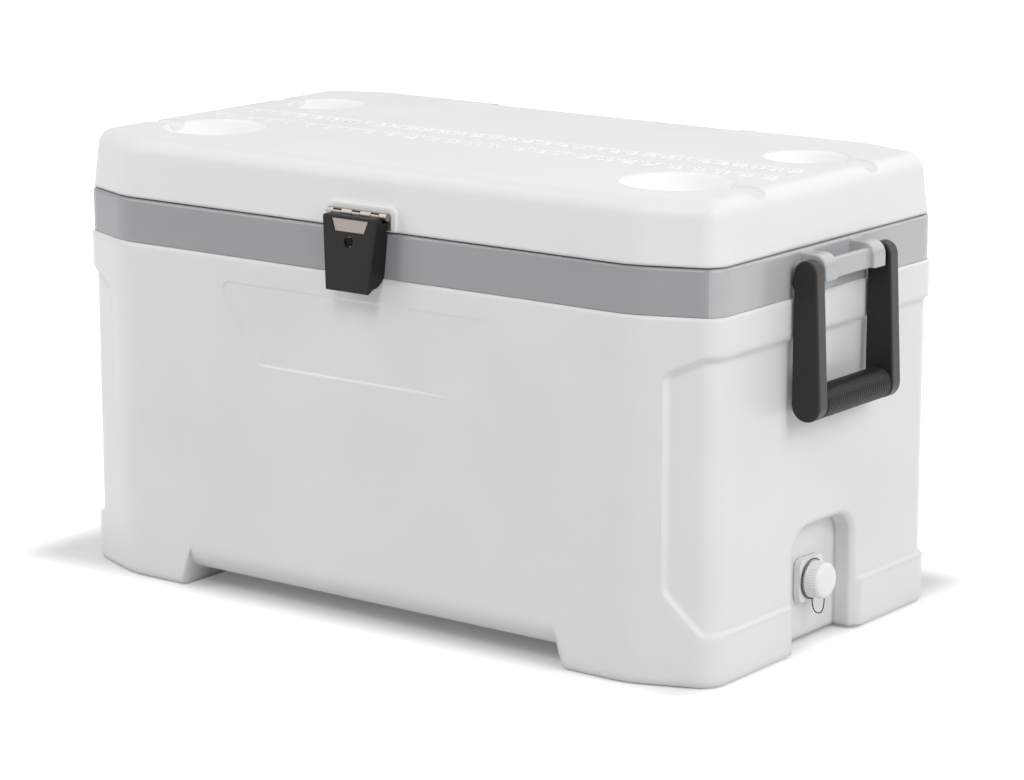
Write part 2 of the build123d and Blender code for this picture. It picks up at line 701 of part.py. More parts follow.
with BuildPart() as latch_fixed_leaf:
    with Locations((0, -pad_face, fixed_leaf_low)):
        Box(
            LATCH_BARREL_LENGTH,
            LATCH_LEAF,
            fixed_leaf_high - fixed_leaf_low,
            align=(Align.CENTER, Align.MAX, Align.MIN),
        )
    barrel_edges = [tab_x + side * (LATCH_TAB / 2 + RUN) for tab_x in tab_xs for side in (-1, 1)]
    barrel_edges = [-LATCH_BARREL_LENGTH / 2, *barrel_edges, LATCH_BARREL_LENGTH / 2]
    for left, right in zip(barrel_edges[0::2], barrel_edges[1::2]):
        with Locations(((left + right) / 2, -pad_face, fixed_leaf_low)):
            Box(
                right - left,
                LATCH_LEAF,
                pin_z - fixed_leaf_low,
                align=(Align.CENTER, Align.MAX, Align.MIN),
            )
        with Locations(Location(((left + right) / 2, pin_y, pin_z), TO_SIDE)):
            Cylinder(LATCH_BARREL / 2, right - left)
    with Locations(Location((0, pin_y, pin_z), TO_SIDE)):
        Cylinder(LATCH_PIN / 2 + FIT / 2, LATCH_BARREL_LENGTH, mode=Mode.SUBTRACT)
    with Locations([Location((x, -pad_face, latch_screw_z), TO_FRONT) for x in latch_screw_x]):
        Cylinder(SCREW_SHANK / 2 + FIT / 2, 4 * LATCH_LEAF, mode=Mode.SUBTRACT)

with BuildPart() as latch_pin:
    with Locations(Location((0, pin_y, pin_z), TO_SIDE)):
        Cylinder(LATCH_PIN / 2, LATCH_BARREL_LENGTH)

with BuildPart() as latch_swing_leaf:
    with BuildSketch(latch_front.offset(-leaf_depth)):
        add(
            trapezoid(
                WINDOW_WIDTH_LOW + 2 * LATCH_WALL,
                WINDOW_WIDTH_HIGH + 2 * LATCH_WALL,
                -LATCH_LEAF_DROP,
                -leaf_depth,
            )
        )
    extrude(amount=-LATCH_LEAF)
    with BuildSketch(latch_front.offset(-leaf_depth - LATCH_LEAF / 2)):
        add(
            trapezoid(
                WINDOW_WIDTH_LOW - 2 * FIT,
                WINDOW_WIDTH_HIGH - 2 * FIT,
                -WINDOW_DROP - WINDOW_HEIGHT + FIT,
                -WINDOW_DROP - FIT,
            )
        )
    extrude(amount=leaf_depth + LATCH_LEAF / 2 - WINDOW_SUNK)
    with Locations((0, barrel_front, flange_top)):
        Box(
            WINDOW_WIDTH_HIGH + 2 * LATCH_WALL,
            barrel_front - front_high_y - leaf_depth - FIT,
            LATCH_LEAF,
            align=(Align.CENTER, Align.MAX, Align.MAX),
        )
    for tab_x in tab_xs:
        with Locations((tab_x, barrel_front - LATCH_LEAF, flange_top - LATCH_LEAF)):
            Box(
                LATCH_TAB,
                pin_y - barrel_front + LATCH_LEAF,
                LATCH_LEAF,
                align=(Align.CENTER, Align.MIN, Align.MIN),
            )
        with Locations((tab_x, pin_y - LATCH_BARREL / 2, flange_top - LATCH_LEAF)):
            Box(
                LATCH_TAB,
                LATCH_BARREL / 2,
                pin_z - flange_top + LATCH_LEAF,
                align=(Align.CENTER, Align.MIN, Align.MIN),
            )
        with Locations(Location((tab_x, pin_y, pin_z), TO_SIDE)):
            Cylinder(LATCH_BARREL / 2, LATCH_TAB)
    with Locations(Location((0, pin_y, pin_z), TO_SIDE)):
        Cylinder(LATCH_PIN / 2 + FIT / 2, LATCH_BARREL_LENGTH, mode=Mode.SUBTRACT)
    with BuildSketch(latch_front.offset(-leaf_depth - LATCH_LEAF)):
        with Locations((0, hole_y)):
            Circle(SCREW_SHANK / 2 + FIT / 2)
    extrude(amount=leaf_depth, mode=Mode.SUBTRACT)


def latch_block(inset, low, heel_round):
    """Tapered block of the cover, moved in by inset and cut off at low, with a rounded heel."""
    high = latch_high - inset
    high_y = front_high_y + inset
    low_y = front_low_y + inset
    back = latch_back + inset
    heel = heel_z + inset
    with BuildPart() as block:
        with BuildSketch(Plane.YZ) as side:
            with BuildLine():
                Polyline(
                    (back, high),
                    (high_y, high),
                    (low_y, low),
                    (back - LATCH_HEEL_ROUND - FIT, heel - heel_round),
                    (back, heel - heel_round),
                    close=True,
                )
            make_face()
            if heel_round:
                fillet(side.vertices().group_by(Axis.X)[-1].sort_by(Axis.Y)[0], heel_round)
        extrude(amount=LATCH_TOP_WIDTH / 2, both=True)
        with BuildSketch(Plane.XZ) as face:
            add(
                trapezoid(
                    LATCH_LOW_WIDTH - 2 * inset,
                    LATCH_TOP_WIDTH - 2 * inset,
                    latch_low,
                    latch_high,
                )
            )
            fillet(face.vertices().group_by(Axis.Y)[-1], LATCH_CORNER)
        extrude(amount=BODY_DEPTH, mode=Mode.INTERSECT)
    return block.part


with BuildPart() as latch_cover:
    add(latch_block(0, latch_low, LATCH_HEEL_ROUND))
    fillet(latch_cover.faces().sort_by(Axis.Y)[0].edges(), LATCH_EDGE)
    add(latch_block(LATCH_WALL, latch_low + LATCH_LIP, 0), mode=Mode.SUBTRACT)
    with Locations((0, barrel_front, flange_top - LATCH_LEAF)):
        Box(
            LATCH_BARREL_LENGTH,
            LATCH_BARREL_LENGTH,
            LATCH_BARREL_LENGTH,
            align=(Align.CENTER, Align.MIN, Align.MIN),
            mode=Mode.SUBTRACT,
        )
    with Locations((0, -(pad_face + LATCH_LEAF + SWING), seam_z - SWING)):
        Box(
            LATCH_BARREL_LENGTH,
            LATCH_BARREL_LENGTH,
            LATCH_BARREL_LENGTH,
            align=(Align.CENTER, Align.MIN, Align.MIN),
            mode=Mode.SUBTRACT,
        )
    with Locations((0, -(collar_side + KEEPER_PROUD + RUN), keeper_low + KEEPER_HEIGHT)):
        Box(
            KEEPER_WIDTH + 2 * RUN,
            KEEPER_WIDTH,
            LATCH_DROP,
            align=(Align.CENTER, Align.MIN, Align.MAX),
            mode=Mode.SUBTRACT,
        )
    with BuildSketch(latch_front):
        add(
            trapezoid(
                WINDOW_WIDTH_LOW,
                WINDOW_WIDTH_HIGH,
                -WINDOW_DROP - WINDOW_HEIGHT,
                -WINDOW_DROP,
            )
        )
        with Locations((0, hole_y)):
            Circle(LATCH_HOLE / 2)
    extrude(amount=-leaf_depth, mode=Mode.SUBTRACT)

with BuildPart() as latch_rivet:
    with BuildSketch(latch_front.offset(-leaf_depth)):
        with Locations((0, hole_y)):
            Circle(SCREW_HEAD / 2)
    extrude(amount=SCREW_HEAD_HIGH)
    fillet(latch_rivet.faces().sort_by(Axis.Y)[0].edges(), SCREW_HEAD_HIGH / 2)
    with BuildSketch(latch_front.offset(-leaf_depth)):
        with Locations((0, hole_y)):
            Circle(SCREW_SHANK / 2)
    extrude(amount=-LATCH_LEAF - FIT)

with BuildPart() as latch_keeper:
    with Locations((0, -collar_side, keeper_low)):
        Box(
            KEEPER_WIDTH,
            KEEPER_PROUD,
            KEEPER_HEIGHT,
            align=(Align.CENTER, Align.MAX, Align.MIN),
        )
    front_edges = latch_keeper.faces().sort_by(Axis.Y)[0].edges()
    chamfer(front_edges.sort_by(Axis.Z)[-1], KEEPER_PROUD / 2)
    keeper_face = -collar_side - KEEPER_PROUD
    with Locations([Location((x, keeper_face, keeper_screw_z), TO_FRONT) for x in keeper_screw_x]):
        Cylinder(SCREW_SHANK / 2 + FIT / 2, 4 * KEEPER_PROUD, mode=Mode.SUBTRACT)
        Cylinder(SCREW_HEAD / 2 + FIT, 2 * (SCREW_HEAD_HIGH + FIT), mode=Mode.SUBTRACT)

# Handles: a moulded bail that hangs from pegs in the lugs, with a ribbed sleeve on its crossbar
grip_x = pivot_x + ARM_LEAN
grip_z = pivot_z - ARM_DROP

with BuildPart() as handle_right_bail:
    for side in (-1, 1):
        with BuildSketch(Plane.XZ.offset(side * (HANDLE_WIDTH - ARM_THICK) / 2)):
            with Locations((pivot_x, pivot_z)):
                Circle(HUB_DIAMETER / 2)
            with Locations((grip_x, grip_z)):
                Circle(ARM_END_DIAMETER / 2)
            make_hull()
            with Locations((pivot_x - HEEL_BACK, pivot_z - HEEL_DROP)):
                Circle(HEEL_DIAMETER / 2)
        extrude(amount=ARM_THICK / 2, both=True)
    fillet(handle_right_bail.faces().filter_by(Axis.Y).edges(), ARM_ROUND)
    with Locations(Location((grip_x, 0, grip_z), TO_FRONT)):
        Cylinder(CROSSBAR_DIAMETER / 2, 2 * arm_inner + ARM_THICK)
    for side in (-1, 1):
        peg_y = side * (arm_inner + ARM_THICK / 2)
        with Locations(Location((pivot_x, peg_y, pivot_z), (side * 90, 0, 0))):
            Cylinder(
                PEG_DIAMETER / 2,
                ARM_THICK / 2 + LUG_GAP + PEG_SEAT,
                align=(Align.CENTER, Align.CENTER, Align.MIN),
            )
            Cylinder(
                PEG_DIAMETER / 2 + LUG_EDGE,
                ARM_THICK / 2 + LUG_GAP - RUN,
                align=(Align.CENTER, Align.CENTER, Align.MIN),
            )

grip_length = 2 * arm_inner - 2 * FIT
rib_pitch = (grip_length - GRIP_CUFF * 2) / GRIP_RIBS
with BuildPart() as handle_right_grip:
    with BuildSketch(Plane.YZ.offset(grip_x)):
        with BuildLine():
            ribs = []
            for rib in range(GRIP_RIBS):
                start = -grip_length / 2 + GRIP_CUFF + rib * rib_pitch
                ribs += [
                    (start, grip_z + GRIP_DIAMETER / 2),
                    (start + rib_pitch / 2, grip_z + GRIP_DIAMETER / 2 - GRIP_RIB_DEPTH),
                ]
            Polyline(
                (-grip_length / 2, grip_z + CROSSBAR_DIAMETER / 2 + FIT),
                (-grip_length / 2, grip_z + GRIP_DIAMETER / 2),
                *ribs,
                (grip_length / 2 - GRIP_CUFF, grip_z + GRIP_DIAMETER / 2),
                (grip_length / 2, grip_z + GRIP_DIAMETER / 2),
                (grip_length / 2, grip_z + CROSSBAR_DIAMETER / 2 + FIT),
                close=True,
            )
        make_face()
    revolve(axis=Axis((grip_x, 0, grip_z), (0, 1, 0)))

with BuildPart() as handle_left_bail:
    mirror(handle_right_bail.part, about=Plane.YZ)

with BuildPart() as handle_left_grip:
    mirror(handle_right_grip.part, about=Plane.YZ)

# Drain: fitting clamped through the wall of the pocket, with a tethered screw cap
flange_back = pocket_x + GASKET_THICK
flange_face = flange_back + FLANGE_THICK
spout_end = flange_face + SPOUT_LENGTH
liner_face = half_length - CHEST_WALL
nut_back = liner_face - NUT_THICK
ring_x = flange_face + FIT
cap_base = ring_x + TETHER_RING_THICK + FIT
cap_roof = spout_end + FIT + SEAL_THICK
cap_outer = cap_roof + CAP_END
swivel_x = cap_outer - CAP_ROUND - SWIVEL_WIDTH
swivel_radius = CAP_DIAMETER / 2 + SWIVEL_PROUD
drain_axis = Plane(origin=(0, 0, DRAIN_Z), x_dir=(0, 1, 0), z_dir=(1, 0, 0))

with BuildPart() as drain_fitting:
    with BuildSketch(drain_axis.offset(flange_back)):
        RectangleRounded(FLANGE_SIDE, FLANGE_SIDE, FLANGE_CORNER)
    extrude(amount=FLANGE_THICK)
    with BuildSketch(drain_axis.offset(flange_face)):
        Circle(SPOUT_DIAMETER / 2)
    extrude(amount=SPOUT_LENGTH)
    with BuildSketch(drain_axis.offset(nut_back - FIT)):
        Circle(STEM_DIAMETER / 2)
    extrude(amount=flange_back - nut_back + FIT)
    with BuildSketch(drain_axis.offset(nut_back - FIT)):
        Circle(DRAIN_BORE / 2)
    extrude(amount=spout_end - nut_back + FIT, mode=Mode.SUBTRACT)

with BuildPart() as drain_gasket:
    with BuildSketch(drain_axis.offset(pocket_x)):
        RectangleRounded(FLANGE_SIDE, FLANGE_SIDE, FLANGE_CORNER)
        Circle(STEM_DIAMETER / 2 + FIT, mode=Mode.SUBTRACT)
    extrude(amount=GASKET_THICK)

with BuildPart() as drain_nut:
    with BuildSketch(drain_axis.offset(nut_back)):
        RegularPolygon(NUT_ACROSS / 2, 6, major_radius=False)
        Circle(STEM_DIAMETER / 2 + FIT, mode=Mode.SUBTRACT)
    extrude(amount=NUT_THICK)

with BuildPart() as tether_ring:
    with BuildSketch(drain_axis.offset(ring_x)):
        Circle(TETHER_RING_DIAMETER / 2)
        Circle(SPOUT_DIAMETER / 2 + FIT, mode=Mode.SUBTRACT)
    extrude(amount=TETHER_RING_THICK)

with BuildPart() as drain_cap:
    with BuildSketch(drain_axis.offset(cap_base)):
        Circle(CAP_DIAMETER / 2)
    extrude(amount=cap_outer - cap_base)
    fillet(drain_cap.faces().sort_by(Axis.X)[-1].edges(), CAP_ROUND)
    with BuildSketch(drain_axis.offset(cap_base)):
        Circle(SPOUT_DIAMETER / 2 + RUN)
    extrude(amount=cap_roof - cap_base, mode=Mode.SUBTRACT)
    with BuildSketch(drain_axis.offset(cap_base)):
        with PolarLocations(CAP_DIAMETER / 2, CAP_FLUTES):
            Circle(CAP_FLUTE_RADIUS)
    extrude(amount=swivel_x - cap_base - SWIVEL_WIDTH, mode=Mode.SUBTRACT)
    with BuildSketch(drain_axis.offset(swivel_x - RUN)):
        Circle(CAP_DIAMETER)
        Circle(CAP_DIAMETER / 2 - SWIVEL_DEPTH, mode=Mode.SUBTRACT)
    extrude(amount=SWIVEL_WIDTH + 2 * RUN, mode=Mode.SUBTRACT)

with BuildPart() as cap_seal:
    with BuildSketch(drain_axis.offset(spout_end + FIT)):
        Circle(SPOUT_DIAMETER / 2)
    extrude(amount=SEAL_THICK)

with BuildPart() as cap_swivel:
    with BuildSketch(drain_axis.offset(swivel_x)):
        Circle(swivel_radius)
        Circle(CAP_DIAMETER / 2 - SWIVEL_DEPTH + RUN, mode=Mode.SUBTRACT)
    extrude(amount=SWIVEL_WIDTH)

# Tether: a short limp cord that hangs in a loop from the ring to the swivel
tether_start = (ring_x + TETHER_RING_THICK / 2, DRAIN_Z - TETHER_RING_DIAMETER / 2)
tether_end = (swivel_x + SWIVEL_WIDTH / 2, DRAIN_Z - swivel_radius)
tether_low = tether_start[1] - TETHER_HANG
tether_points = [
    tether_start,
    (tether_start[0], tether_low),
    (tether_end[0], tether_low),
    tether_end,
]
tether_runs = [math.dist(a, b) for a, b in zip(tether_points, tether_points[1:])]
tether_radii = [TETHER_RUN_SHARE * min(a, b) for a, b in zip(tether_runs, tether_runs[1:])]
with BuildPart() as drain_tether:
    with BuildLine(Plane.XZ) as tether_route:
        FilletPolyline(*tether_points, radius=tether_radii)
    tether_path = tether_route.wire()
    with BuildSketch(Plane(origin=tether_path @ 0, z_dir=tether_path % 0)):
        Circle(TETHER_DIAMETER / 2)
    sweep(path=tether_path)
tether_swept = math.pi * TETHER_DIAMETER**2 / 4 * tether_path.length
print("tether length", tether_path.length, "radii", tether_radii)
print("tether volume over section times length", drain_tether.part.volume / tether_swept)

pieces = {
    "body_shell": body_shell.part,
    "body_foam": body_foam.part,
    "inner_liner": inner_liner.part,
    "collar": collar.part,
    "lid_shell": lid_shell.part,
    "lid_foam": lid_foam.part,
    "lid_liner": lid_liner.part,
    "latch_fixed_leaf": latch_fixed_leaf.part,
    "latch_pin": latch_pin.part,
    "latch_swing_leaf": latch_swing_leaf.part,
    "latch_cover": latch_cover.part,
    "latch_rivet": latch_rivet.part,
    "latch_keeper": latch_keeper.part,
    "latch_screws": screws(latch_screw_x, -pad_face - LATCH_LEAF, latch_screw_z, TO_FRONT, LATCH_LEAF),
    "keeper_screws": screws(
        keeper_screw_x,
        keeper_face + SCREW_HEAD_HIGH + FIT,
        keeper_screw_z,
        TO_FRONT,
        KEEPER_PROUD - SCREW_HEAD_HIGH - FIT,
    ),
    "hinge_lid_screws": screws(hinge_screw_x, leaf_face, lid_screw_z, TO_REAR, HINGE_LEAF),
    "hinge_body_screws": screws(
        hinge_screw_x,
        leaf_face,
        body_screw_z,
        TO_REAR,
        leaf_face - collar_side,
    ),
    "handle_right_bail": handle_right_bail.part,
    "handle_right_grip": handle_right_grip.part,
    "handle_left_bail": handle_left_bail.part,
    "handle_left_grip": handle_left_grip.part,
    "drain_fitting": drain_fitting.part,
    "drain_gasket": drain_gasket.part,
    "drain_nut": drain_nut.part,
    "tether_ring": tether_ring.part,
    "drain_cap": drain_cap.part,
    "cap_seal": cap_seal.part,
    "cap_swivel": cap_swivel.part,
    "drain_tether": drain_tether.part,
}
for side, x in (("left", -HINGE_X), ("right", HINGE_X)):
    pieces[f"hinge_{side}_lid_leaf"] = hinge_leaf(x, pad_face, lid_knuckles, 1, HINGE_LEAF_HIGH)
    pieces[f"hinge_{side}_body_leaf"] = hinge_leaf(x, collar_side, body_knuckles, -1, HINGE_LEAF_LOW)
    pieces[f"hinge_{side}_pin"] = hinge_pin(x)

for name, piece in pieces.items():
    piece.label = name
    export_step(piece, f"parts/{name}.step")
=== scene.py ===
import json
import math

import bmesh
import bpy
import numpy as np
from mathutils import Matrix, Vector


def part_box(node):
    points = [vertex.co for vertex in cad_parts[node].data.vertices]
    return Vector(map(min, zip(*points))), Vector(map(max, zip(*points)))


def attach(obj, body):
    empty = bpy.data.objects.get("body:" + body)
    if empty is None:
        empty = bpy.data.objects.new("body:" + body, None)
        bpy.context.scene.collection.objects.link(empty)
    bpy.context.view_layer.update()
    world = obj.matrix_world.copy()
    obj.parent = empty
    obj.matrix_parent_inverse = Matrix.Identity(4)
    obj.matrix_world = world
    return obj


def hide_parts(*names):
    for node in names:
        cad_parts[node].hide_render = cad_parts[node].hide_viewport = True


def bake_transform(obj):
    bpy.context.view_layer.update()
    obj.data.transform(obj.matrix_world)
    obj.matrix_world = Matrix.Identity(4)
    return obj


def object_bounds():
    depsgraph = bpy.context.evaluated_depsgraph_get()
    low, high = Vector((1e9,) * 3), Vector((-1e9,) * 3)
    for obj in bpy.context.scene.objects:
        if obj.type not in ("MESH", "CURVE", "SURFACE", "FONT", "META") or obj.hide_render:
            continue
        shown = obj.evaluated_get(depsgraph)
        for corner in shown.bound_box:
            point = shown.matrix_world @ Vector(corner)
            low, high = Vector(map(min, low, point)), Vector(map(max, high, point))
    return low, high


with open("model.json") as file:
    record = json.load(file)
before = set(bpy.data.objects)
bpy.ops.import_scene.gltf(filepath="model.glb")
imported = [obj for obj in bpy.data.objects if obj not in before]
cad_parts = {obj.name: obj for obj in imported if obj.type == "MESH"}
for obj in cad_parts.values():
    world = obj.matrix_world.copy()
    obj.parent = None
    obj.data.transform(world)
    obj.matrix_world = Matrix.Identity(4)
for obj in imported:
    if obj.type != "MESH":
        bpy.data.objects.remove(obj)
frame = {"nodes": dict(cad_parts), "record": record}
CAD_BOX = [list(corner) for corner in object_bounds()]
NODES = frame["nodes"]
MM = 0.001
WHITE = (1.0, 1.0, 1.0, 1.0)

# Camera: the place and aim that put the lid seam, the collar and the feet where the photograph has them
PHOTO_WIDTH = 1024
FOCAL_PIXELS = 3450.7
SENSOR_WIDTH = 36.0
CAMERA_PLACE = (1.963, -2.581, 0.9215)
CAMERA_AZIMUTH = 37.08
CAMERA_ELEVATION = 12.77
CAMERA_ROLL = -0.045

# Light: a pale dome, soft lamps all round (place, size, power), and a floor that comes out white
DOME_STRENGTH = 0.33
LAMPS = {
    "left_lamp": ((-2.1, -1.6, 1.4), 1.6, 16.0),
    "front_lamp": ((0.8, -2.5, 3.0), 1.4, 34.0),
    "right_lamp": ((3.0, -0.2, 2.0), 2.2, 50.0),
    "top_lamp": ((-2.0, -0.7, 3.0), 1.4, 15.0),
    "back_lamp": ((0.8, 2.6, 1.8), 2.6, 20.0),
}
FLOOR_SIZE = 30.0
FLOOR_COLOUR = (0.72, 0.72, 0.72, 1.0)
FLOOR_ROUGHNESS = 0.9
FLOOR_SPECULAR = 0.1
FLOOR_GLOW = 0.12
FLOOR_SHADE_MIDDLE = (-0.035, 0.02, 0.0)
FLOOR_SHADE_REACH = 0.0
FLOOR_WHITE_REACH = 0.10

# Meshes: how near points merge, and the angles in degrees past which a fold stays sharp
MERGE_DISTANCE = 1e-7
BORDER_FOLD = 60.0
RIB_FOLD = 50.0
SCREW_FOLD = 35.0

# Moulded skin: the noise at which specks and a drift of the tone begin and are full, and the specks' share
SPECK_START = 0.62
SPECK_FULL = 0.80
SPECK_SHARE = 0.25
DRIFT_START = 0.35
DRIFT_FULL = 0.70
NOISE_MIDDLE = 0.5

# Soft edges of the finishes: their radii in millimetres, and the readings taken for each
SHELL_EDGE = 8.0
LID_EDGE = 5.0
COLLAR_EDGE = 2.0
LATCH_EDGE = 0.8
HANDLE_EDGE = 1.5
EDGE_SAMPLES = 8

# White of the tub and of the border of its front panel
SHELL_WHITE = (0.775, 0.775, 0.77)
SHELL_DRIFT = (0.75, 0.75, 0.745)

# Cup holders of the lid, where light is painted into the white: distance of their axes from the middle,
# their radius, and how that painted light fades out
CUPS = [(272.0 * MM, -102.0 * MM, 50.0 * MM), (288.0 * MM, 84.0 * MM, 38.0 * MM)]
CUP_EDGE = 0.5 * MM
CUP_FADE = 2.5 * MM

# Front panel, in millimetres: its outline on the tub's face, how far each edge (low, right, high, left) is
# drawn in on the floor of the recess, the recess's depth, and the skin that keeps the border off its faces
PANEL_CORNERS = [(-126.0, 230.0), (126.0, 230.0), (178.0, 308.0), (-178.0, 308.0)]
PANEL_ROUND = 9.0
PANEL_BORDER = [3.0, 55.0, 3.0, 3.0]
PANEL_FLOOR_ROUND = 6.0
PANEL_DEPTH = 1.4
PANEL_SKIN = 0.02
PANEL_ARC_STEPS = 12
PANEL_SLOPE_STEPS = 15

# Round the panel the tub's edges stay hard: depth of that zone, and where the soft edges set in and are full
PANEL_ZONE_DEPTH = 7.0
PANEL_ZONE_EDGE = 2.0
PANEL_ZONE_END = 10.0

# Ruler raised on the lid
RULER_PROUD = 0.5 * MM
RULER_START = -330.0 * MM
RULER_PARTS = 4
INCH = 25.4 * MM
INCHES = 26
INCH_DIGIT_Y = -45.0 * MM
INCH_TICK_Y = -29.0 * MM
DOUBLE_CENTIMETRE = 20.0 * MM
DOUBLE_CENTIMETRES = 33
METRIC_DIGIT_Y = -1.0 * MM
METRIC_TICK_Y = 14.0 * MM
DIGIT_HEIGHT = 11.0 * MM
DIGIT_STEPS = 3
FONT_CAPITAL = 0.70
TICK_WIDTH = 0.9 * MM
LONG_TICK = 8.0 * MM
SHORT_TICK = 5.0 * MM

# Ribbed sleeves of the handles
GRIP_RINGS = 34
GRIP_RING_STEPS = 10
GRIP_RING_DEPTH = 1.3 * MM
GRIP_CHAMFER = 2.2 * MM
GRIP_CHAMFER_SLOPE = 0.8
GRIP_BORE = 9.7 * MM
GRIP_SIDES = 72

# Screws, seen at the rear hinges and behind the open latch
SCREW_RADIUS = 4.0 * MM
SCREW_HEAD_HIGH = 1.8 * MM
HINGE_SCREWS = [-231.0 * MM, -199.0 * MM, 199.0 * MM, 231.0 * MM]
LATCH_SCREWS = [-11.0 * MM, 11.0 * MM]
KEEPER_SCREWS = [-6.5 * MM, 6.5 * MM]
SCREW_DOME = 1.0 * MM
SCREW_SHANK = 1.8 * MM
SCREW_SIDES = 64
SCREW_STEPS = 26
CROSS_LENGTH = 2.3 * MM
CROSS_WIDTH = 0.55 * MM
CROSS_DEPTH = 1.1 * MM
CROSS_SOFT = 0.12 * MM

# Drain cap: finely ribbed, with a well rounded end, and a thin ring at each end of its tether
CAP_TAPER = 0.6 * MM
CAP_ROUND = 5.0 * MM
CAP_EDGE = 0.5 * MM
CAP_END = 3.0 * MM
CAP_BORE = 13.5 * MM
CAP_SIDE_STEPS = 40
CAP_ROUND_STEPS = 14
CAP_RIBS = 44
CAP_RIB_STEPS = 8
CAP_RIB_DEPTH = 0.45 * MM
CAP_RIB_START = 1.5 * MM
CAP_RIB_FADE = 1.0 * MM
RING_RADIUS = 18.4 * MM
SWIVEL_RADIUS = 15.7 * MM
RING_THICK = 1.0 * MM
RING_SIDES = 96
RING_SECTION_SIDES = 16

# Steps seen along the barrel of the latch, as dark slots of painted shade between two angles above the level
SLOT_PLACES = [-22.0 * MM, 0.0, 22.0 * MM]
SLOT_LENGTH = 9.0 * MM
SLOT_LOW = 30.0
SLOT_HIGH = 58.0
SLOT_STEPS = 9
SLOT_PROUD = 0.08 * MM
BARREL_RADIUS = 3.6 * MM

# Tether loop between the ring round the cap's neck and the swivel on its end
TETHER_DIAMETER = 1.1 * MM
TETHER_ROUTE = [
    (355.4 * MM, 0.0, 40.6 * MM),
    (355.4 * MM, 0.0, 27.35 * MM),
    (368.4 * MM, 0.0, 27.35 * MM),
    (368.4 * MM, 0.0, 43.3 * MM),
]
TETHER_ORDER = 3
TETHER_SIDES = 16
TETHER_READINGS = 48
KNOT_RADIUS = 1.3 * MM
KNOT_SHAPE = (1.0, 0.9, 1.2)
KNOT_STEPS = 13
KNOT_SIDES = 20


# Meshes and pieces

def surface(name, points, around=False, along=False, sharp=None):
    """A mesh from a grid of points [row, column, xyz]: quads join each point to the next one in its
    row and in its column, and close up round the columns (around) or the rows (along)."""
    rows, columns = points.shape[:2]
    row = np.arange(rows if along else rows - 1)
    column = np.arange(columns if around else columns - 1)
    a, b = np.meshgrid(row, column, indexing="ij")
    next_a, next_b = (a + 1) % rows, (b + 1) % columns
    corners = [a * columns + b, a * columns + next_b, next_a * columns + next_b, next_a * columns + b]
    quads = np.stack(corners, -1).reshape(-1, 4)
    mesh = bpy.data.meshes.new(name)
    mesh.from_pydata(points.reshape(-1, 3).tolist(), [], quads.tolist())
    return settle(mesh, sharp)


def settle(mesh, sharp=None):
    """Merges points that coincide, turns the faces outwards and shades the mesh smooth up to an angle."""
    work = bmesh.new()
    work.from_mesh(mesh)
    bmesh.ops.remove_doubles(work, verts=work.verts, dist=MERGE_DISTANCE)
    bmesh.ops.recalc_face_normals(work, faces=work.faces)
    work.to_mesh(mesh)
    work.free()
    mesh.shade_smooth()
    if sharp is not None:
        mesh.set_sharp_from_angle(angle=math.radians(sharp))
    return mesh


def joined(name, meshes):
    """One mesh out of several."""
    work = bmesh.new()
    for mesh in meshes:
        work.from_mesh(mesh)
    made = bpy.data.meshes.new(name)
    work.to_mesh(made)
    work.free()
    return made


def new_object(name, data):
    """An object in the scene, at the origin."""
    made = bpy.data.objects.new(name, data)
    bpy.context.scene.collection.objects.link(made)
    return made


def curve_mesh(curve):
    """The mesh of a text or a curve, whose own object is there only to be read."""
    shown = new_object(curve.name, curve)
    graph = bpy.context.evaluated_depsgraph_get()
    mesh = bpy.data.meshes.new_from_object(shown.evaluated_get(graph))
    bpy.data.objects.remove(shown)
    return mesh


def piece(name, mesh, material, body=None, replaced=()):
    """A new piece at the origin with its finish, on a body where it rides on one."""
    made = new_object(name, mesh)
    mesh.materials.append(material)
    if body:
        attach(made, body)
    if replaced:
        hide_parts(*replaced)
    return made


def turned(profile, sides):
    """Rings of a profile of (distance along, radius) turned about the X axis:
    point = (along, radius * cos(angle), radius * sin(angle))."""
    angle = np.linspace(0, 2 * np.pi, sides, endpoint=False)
    along, radius = profile[:, 0, None], profile[:, 1, None]
    return np.stack([along + 0 * angle, radius * np.cos(angle), radius * np.sin(angle)], -1)


# Node groups

def add_node(tree, kind, operation=None, **inputs):
    """A node with its operation and the values of its named inputs set."""
    made = tree.nodes.new(kind)
    if operation:
        made.operation = operation
    for name, value in inputs.items():
        made.inputs[name.replace("_", " ")].default_value = value
    return made


def add_group(tree, group, values):
    """A group placed in a material, with the values of its named inputs set."""
    made = tree.nodes.new("ShaderNodeGroup")
    made.node_tree = group
    for label, value in values.items():
        made.inputs[label].default_value = value
    return made


def colour_mix(tree):
    """A node that mixes two colours, A and B."""
    made = tree.nodes.new("ShaderNodeMix")
    made.data_type = "RGBA"
    return made


def mirrored(tree, vector):
    """The sizes |x|, |y| and |z| of a vector."""
    size = add_node(tree, "ShaderNodeVectorMath", "ABSOLUTE")
    split = tree.nodes.new("ShaderNodeSeparateXYZ")
    tree.links.new(vector, size.inputs[0])
    tree.links.new(size.outputs["Vector"], split.inputs[0])
    return split.outputs


def box_distance(tree, middle, half):
    """How far a point lies outside a box: the length of max(|p - middle| - half, 0)."""
    place = tree.nodes.new("ShaderNodeTexCoord")
    operations = ("SUBTRACT", "ABSOLUTE", "SUBTRACT", "MAXIMUM", "LENGTH")
    steps = [add_node(tree, "ShaderNodeVectorMath", operation) for operation in operations]
    steps[0].inputs[1].default_value = middle
    steps[2].inputs[1].default_value = half
    tree.links.new(place.outputs["Object"], steps[0].inputs[0])
    for step, following in zip(steps, steps[1:]):
        tree.links.new(step.outputs["Vector"], following.inputs[0])
    return steps[-1].outputs["Value"]


